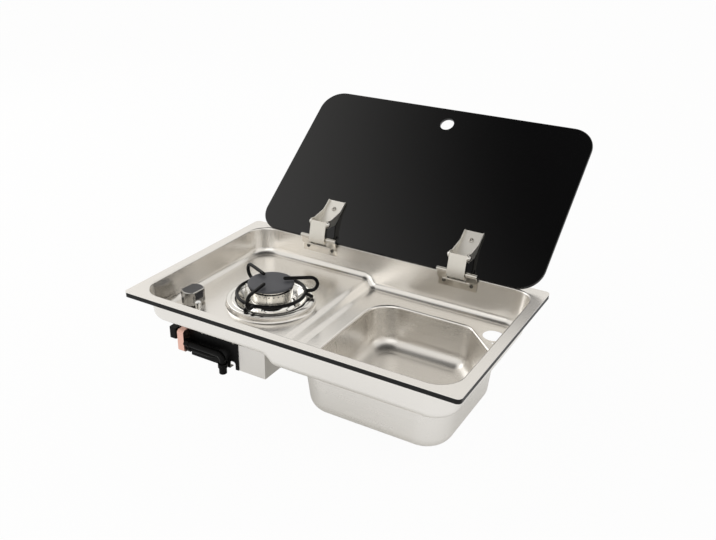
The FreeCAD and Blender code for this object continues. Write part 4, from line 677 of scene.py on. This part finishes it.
# %% Pressed collar
COLLAR_FOOT_R, COLLAR_RUN, COLLAR_RISE = 79.6, 3.2, 8.6  # millimetres, as in the profile below
FILLET_STEPS = 14
COLLAR_TOP = [(75.4, 9.1), (70.0, 9.1), (70.0, 8.3), (75.2, 8.3), (75.4, 0.0), (75.4, -0.3), (COLLAR_FOOT_R, -0.3)]
fillet = np.linspace(0, np.pi / 2, FILLET_STEPS)
rise = np.stack([COLLAR_FOOT_R - COLLAR_RUN * np.sin(fillet), COLLAR_RISE * (1 - np.cos(fillet))], axis=-1)
collar_profile = np.concatenate([rise, COLLAR_TOP]) * MM
collar_points, collar_faces = turned_surface(collar_profile, burner_foot, TURNED_COLUMNS)
piece("burner_collar", collar_points, collar_faces, satin_steel, "tray", "satin_stainless")
print("collar", len(collar_points), "points")

# %% [markdown]
# ## Wire support
# The support is one black wire ring with three hairpin fingers over the cap and three short pegs that slope down to
# the brim. In the solid the ring lies lower, level with its pegs. A bent wire is a circle carried along a path, so
# each finger and peg is drawn as a path in its own upright plane, and rings of points follow it and shrink to a
# point at both ends.

# %% Bent wire
WIRE_COLUMNS, RING_COLUMNS = 24, 144
# Millimetres: radius of wire and ring, height of ring and fingers, radius where a finger bends and where it ends.
WIRE_R, RING_R, RING_UP, FINGER_UP, BEND_AT, TIP_AT = 3.1, 58.8, 20.1, 45.1, 67.5, 24.0
# Degrees of the fingers and of a peg from its finger, and radius and height of the foot of a peg.
FINGERS, PEG_TURN, PEG_FOOT = (36.0, 156.0, 276.0), -9.0, (69.9, 14.3)


def wire_surface(path, degrees, radius, columns=WIRE_COLUMNS):
    """Circle square to a path of radius and height, in the upright plane at an angle, with half spheres as ends.

    A point leaves the path by the radius times cosine along the path's normal, and by the radius times sine out of
    the plane. At an end the circle's size falls with the cosine while its centre moves on with the sine.
    """
    path = np.array(path, float)
    tangent = np.gradient(path, axis=0)
    tangent /= np.linalg.norm(tangent, axis=1)[:, None]
    bulge = np.linspace(0, np.pi / 2, 7)[1:-1, None]
    centre = np.concatenate([path[:1] - tangent[:1] * radius * np.sin(bulge[::-1]), path,
                             path[-1:] + tangent[-1:] * radius * np.sin(bulge)])
    along = np.concatenate([np.repeat(tangent[:1], len(bulge), axis=0), tangent,
                            np.repeat(tangent[-1:], len(bulge), axis=0)])
    size = radius * np.concatenate([np.cos(bulge[::-1, 0]), np.ones(len(path)), np.cos(bulge[:, 0])])[:, None]
    turn = round_angles(columns)
    out = centre[:, :1] - along[:, 1:] * size * np.cos(turn)
    up = centre[:, 1:] + along[:, :1] * size * np.cos(turn)
    side = size * np.sin(turn)
    ends = np.stack([path[0] - tangent[0] * radius, path[-1] + tangent[-1] * radius])
    out = np.concatenate([ends[:1, 0], out.ravel(), ends[1:, 0]])
    up = np.concatenate([ends[:1, 1], up.ravel(), ends[1:, 1]])
    side = np.concatenate([[0], side.ravel(), [0]])
    angle = math.radians(degrees)
    points = np.stack([out * math.cos(angle) - side * math.sin(angle),
                       out * math.sin(angle) + side * math.cos(angle), up], axis=-1)
    return points, closed_rows(len(centre), columns)


def level_run(start, end, height, count):
    """Even points of radius and height along a level line."""
    return np.stack([np.linspace(start, end, count), np.full(count, height)], axis=-1)


bend_r = (FINGER_UP - RING_UP) / 2
bend = np.linspace(-np.pi / 2, np.pi / 2, 25)
hairpin = np.stack([BEND_AT + bend_r * np.cos(bend), RING_UP + bend_r * (1 + np.sin(bend))], axis=-1)
finger_path = np.concatenate([level_run(RING_R, BEND_AT, RING_UP, 5)[:-1], hairpin,
                              level_run(BEND_AT, TIP_AT, FINGER_UP, 15)[1:]])
peg_path = np.linspace((RING_R, RING_UP), PEG_FOOT, 5)
round_wire = round_angles(WIRE_COLUMNS)
ring_profile = np.stack([RING_R + WIRE_R * np.cos(round_wire), RING_UP + WIRE_R * np.sin(round_wire)], axis=-1)
wires = [turned_surface(ring_profile, (0, 0, 0), RING_COLUMNS)]
wires += [wire_surface(finger_path, degrees, WIRE_R) for degrees in FINGERS]
wires += [wire_surface(peg_path, degrees + PEG_TURN, WIRE_R) for degrees in FINGERS]
wire_points, wire_faces = joined(wires)
wire_points = wire_points * MM + np.array(burner_foot)
support = piece("bent_wire_support", wire_points, wire_faces, wire_enamel, "tray", "black_wire")
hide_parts("pan_support")
print("wire support", len(wire_points), "points")

# %% [markdown]
# ## Tongue behind the gas block
# The copper block hangs beside the black plate, and a tongue of the same sheet laps behind both of them, so no
# light shows through between them. A box would have hard corners; a rounded rectangle, carried through the
# thickness of the sheet in rings, gives the eased edge of blanked steel.

# %% Lapped tongue
TONGUE_HALF, TONGUE_THICK, TONGUE_CORNER = (11 * MM, 22 * MM), 1.2 * MM, 0.16
TONGUE_RIGHT, TONGUE_DOWN = 4 * MM, 12 * MM  # from the middle of the slit, and from the top of the block


def sheet_surface(middle, half, corner, thick, columns=96):
    """Rounded rectangle in X and Z, carried from front to back in rings that are smaller at both faces.

    X is the half width times the cosine and Z the half height times the sine; each keeps its sign and is raised to
    the power corner, so that a small power comes close to a rectangle.
    """
    angle = round_angles(columns)
    round_x = np.sign(np.cos(angle)) * np.abs(np.cos(angle)) ** corner
    round_z = np.sign(np.sin(angle)) * np.abs(np.sin(angle)) ** corner
    inset = np.array([1.2, 0.3, 0.0, 0.0, 0.3, 1.2])[:, None] * MM
    depth = np.array([0.0, 0.0, 0.3, 0.7, 1.0, 1.0])[:, None] * thick
    rings = np.stack([round_x * (half[0] - inset), depth + 0 * angle, round_z * (half[1] - inset)], axis=-1)
    poles = np.array([[0, 0, 0], [0, thick, 0]])
    points = np.concatenate([poles[:1], rings.reshape(-1, 3), poles[1:]]) + np.array(middle)
    return points, closed_rows(len(inset), columns)


plate_low, plate_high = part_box("valve_plate")
block_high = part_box("gas_block")[1]
tongue_middle = ((block_high.x + plate_low.x) / 2 + TONGUE_RIGHT, plate_high.y, block_high.z - TONGUE_DOWN)
tongue_points, tongue_faces = sheet_surface(tongue_middle, TONGUE_HALF, TONGUE_CORNER, TONGUE_THICK)
piece("plate_tongue", tongue_points, tongue_faces, black_paint, "tray", "black_metal")
print("tongue from", np.round(tongue_points.min(axis=0), 4).tolist(),
      "to", np.round(tongue_points.max(axis=0), 4).tolist())

# %% [markdown]
# ## Weld round the bowl
# The bowl is drawn on its own and welded to the neck of the tray, so a fine bead runs round it a little below the
# deck. It is a flat ellipse carried along the outline of the bowl's upper edge. The outline is read from the
# solid: in each of many directions round the middle, the vertex that lies farthest out belongs to it. Small
# ripples along the path are the freezing lines of the weld.

# %% Weld bead
BEAD_COLUMNS = 14
BEAD_STEP, BEAD_HALF_HEIGHT, BEAD_PROUD = 0.6 * MM, 1.3 * MM, 0.4 * MM
RIPPLE_LENGTH, RIPPLE_SHARE = 3.0 * MM, 0.12
EDGE_BAND = 0.05 * MM  # vertices this near to the highest one belong to the bowl's upper edge


def outline_of(points, directions=1440):
    """Corners of the outer outline in order: for each direction the farthest point, without repeats."""
    angle = round_angles(directions)
    farthest = np.argmax(points @ np.stack([np.cos(angle), np.sin(angle)]), axis=0)
    keep = farthest != np.roll(farthest, 1)
    return points[farthest[keep]]


def even_path(corners, step):
    """Points at even steps along a closed outline, with the outward direction and the distance run at each."""
    closed = np.vstack([corners, corners[:1]])
    run = np.concatenate([[0], np.cumsum(np.linalg.norm(np.diff(closed, axis=0), axis=1))])
    at = np.linspace(0, run[-1], int(run[-1] / step), endpoint=False)
    path = np.stack([np.interp(at, run, closed[:, k]) for k in (0, 1)], axis=-1)
    along = np.roll(path, -1, axis=0) - np.roll(path, 1, axis=0)
    along /= np.linalg.norm(along, axis=1)[:, None]
    return path, np.stack([along[:, 1], -along[:, 0]], axis=-1), at


def bead_surface(path, outward, at, z, columns=BEAD_COLUMNS):
    """Ellipse carried along a closed path: outward by the cosine, up by the sine, with a sine wave along the path."""
    angle = round_angles(columns)
    swell = 1 + RIPPLE_SHARE * np.sin(2 * np.pi * at / RIPPLE_LENGTH)
    out = BEAD_PROUD * np.cos(angle)[None] * swell[:, None]
    flat = path[:, None] + outward[:, None] * out[..., None]
    up = z + BEAD_HALF_HEIGHT * np.sin(angle)[None] * np.ones((len(path), 1))
    points = np.concatenate([flat, up[..., None]], axis=-1).reshape(-1, 3)
    turned_round = [0, 3, 2, 1]  # here the rows follow the path, so each face is turned round to look outwards
    return points, endless_rows(len(path), columns)[:, turned_round].tolist()


bowl_points = node_points("sink_bowl")
seam_z = bowl_points[:, 2].max()
edge_of_bowl = bowl_points[bowl_points[:, 2] > seam_z - EDGE_BAND][:, :2]
weld_path, weld_out, weld_at = even_path(outline_of(edge_of_bowl), BEAD_STEP)
weld_points, weld_faces = bead_surface(weld_path, weld_out, weld_at, seam_z)
piece("bowl_weld", weld_points, weld_faces, bowl_steel, "tray", "satin_stainless")
print("weld", round(len(weld_path) * BEAD_STEP / MM), "mm round, at", round(seam_z, 4))
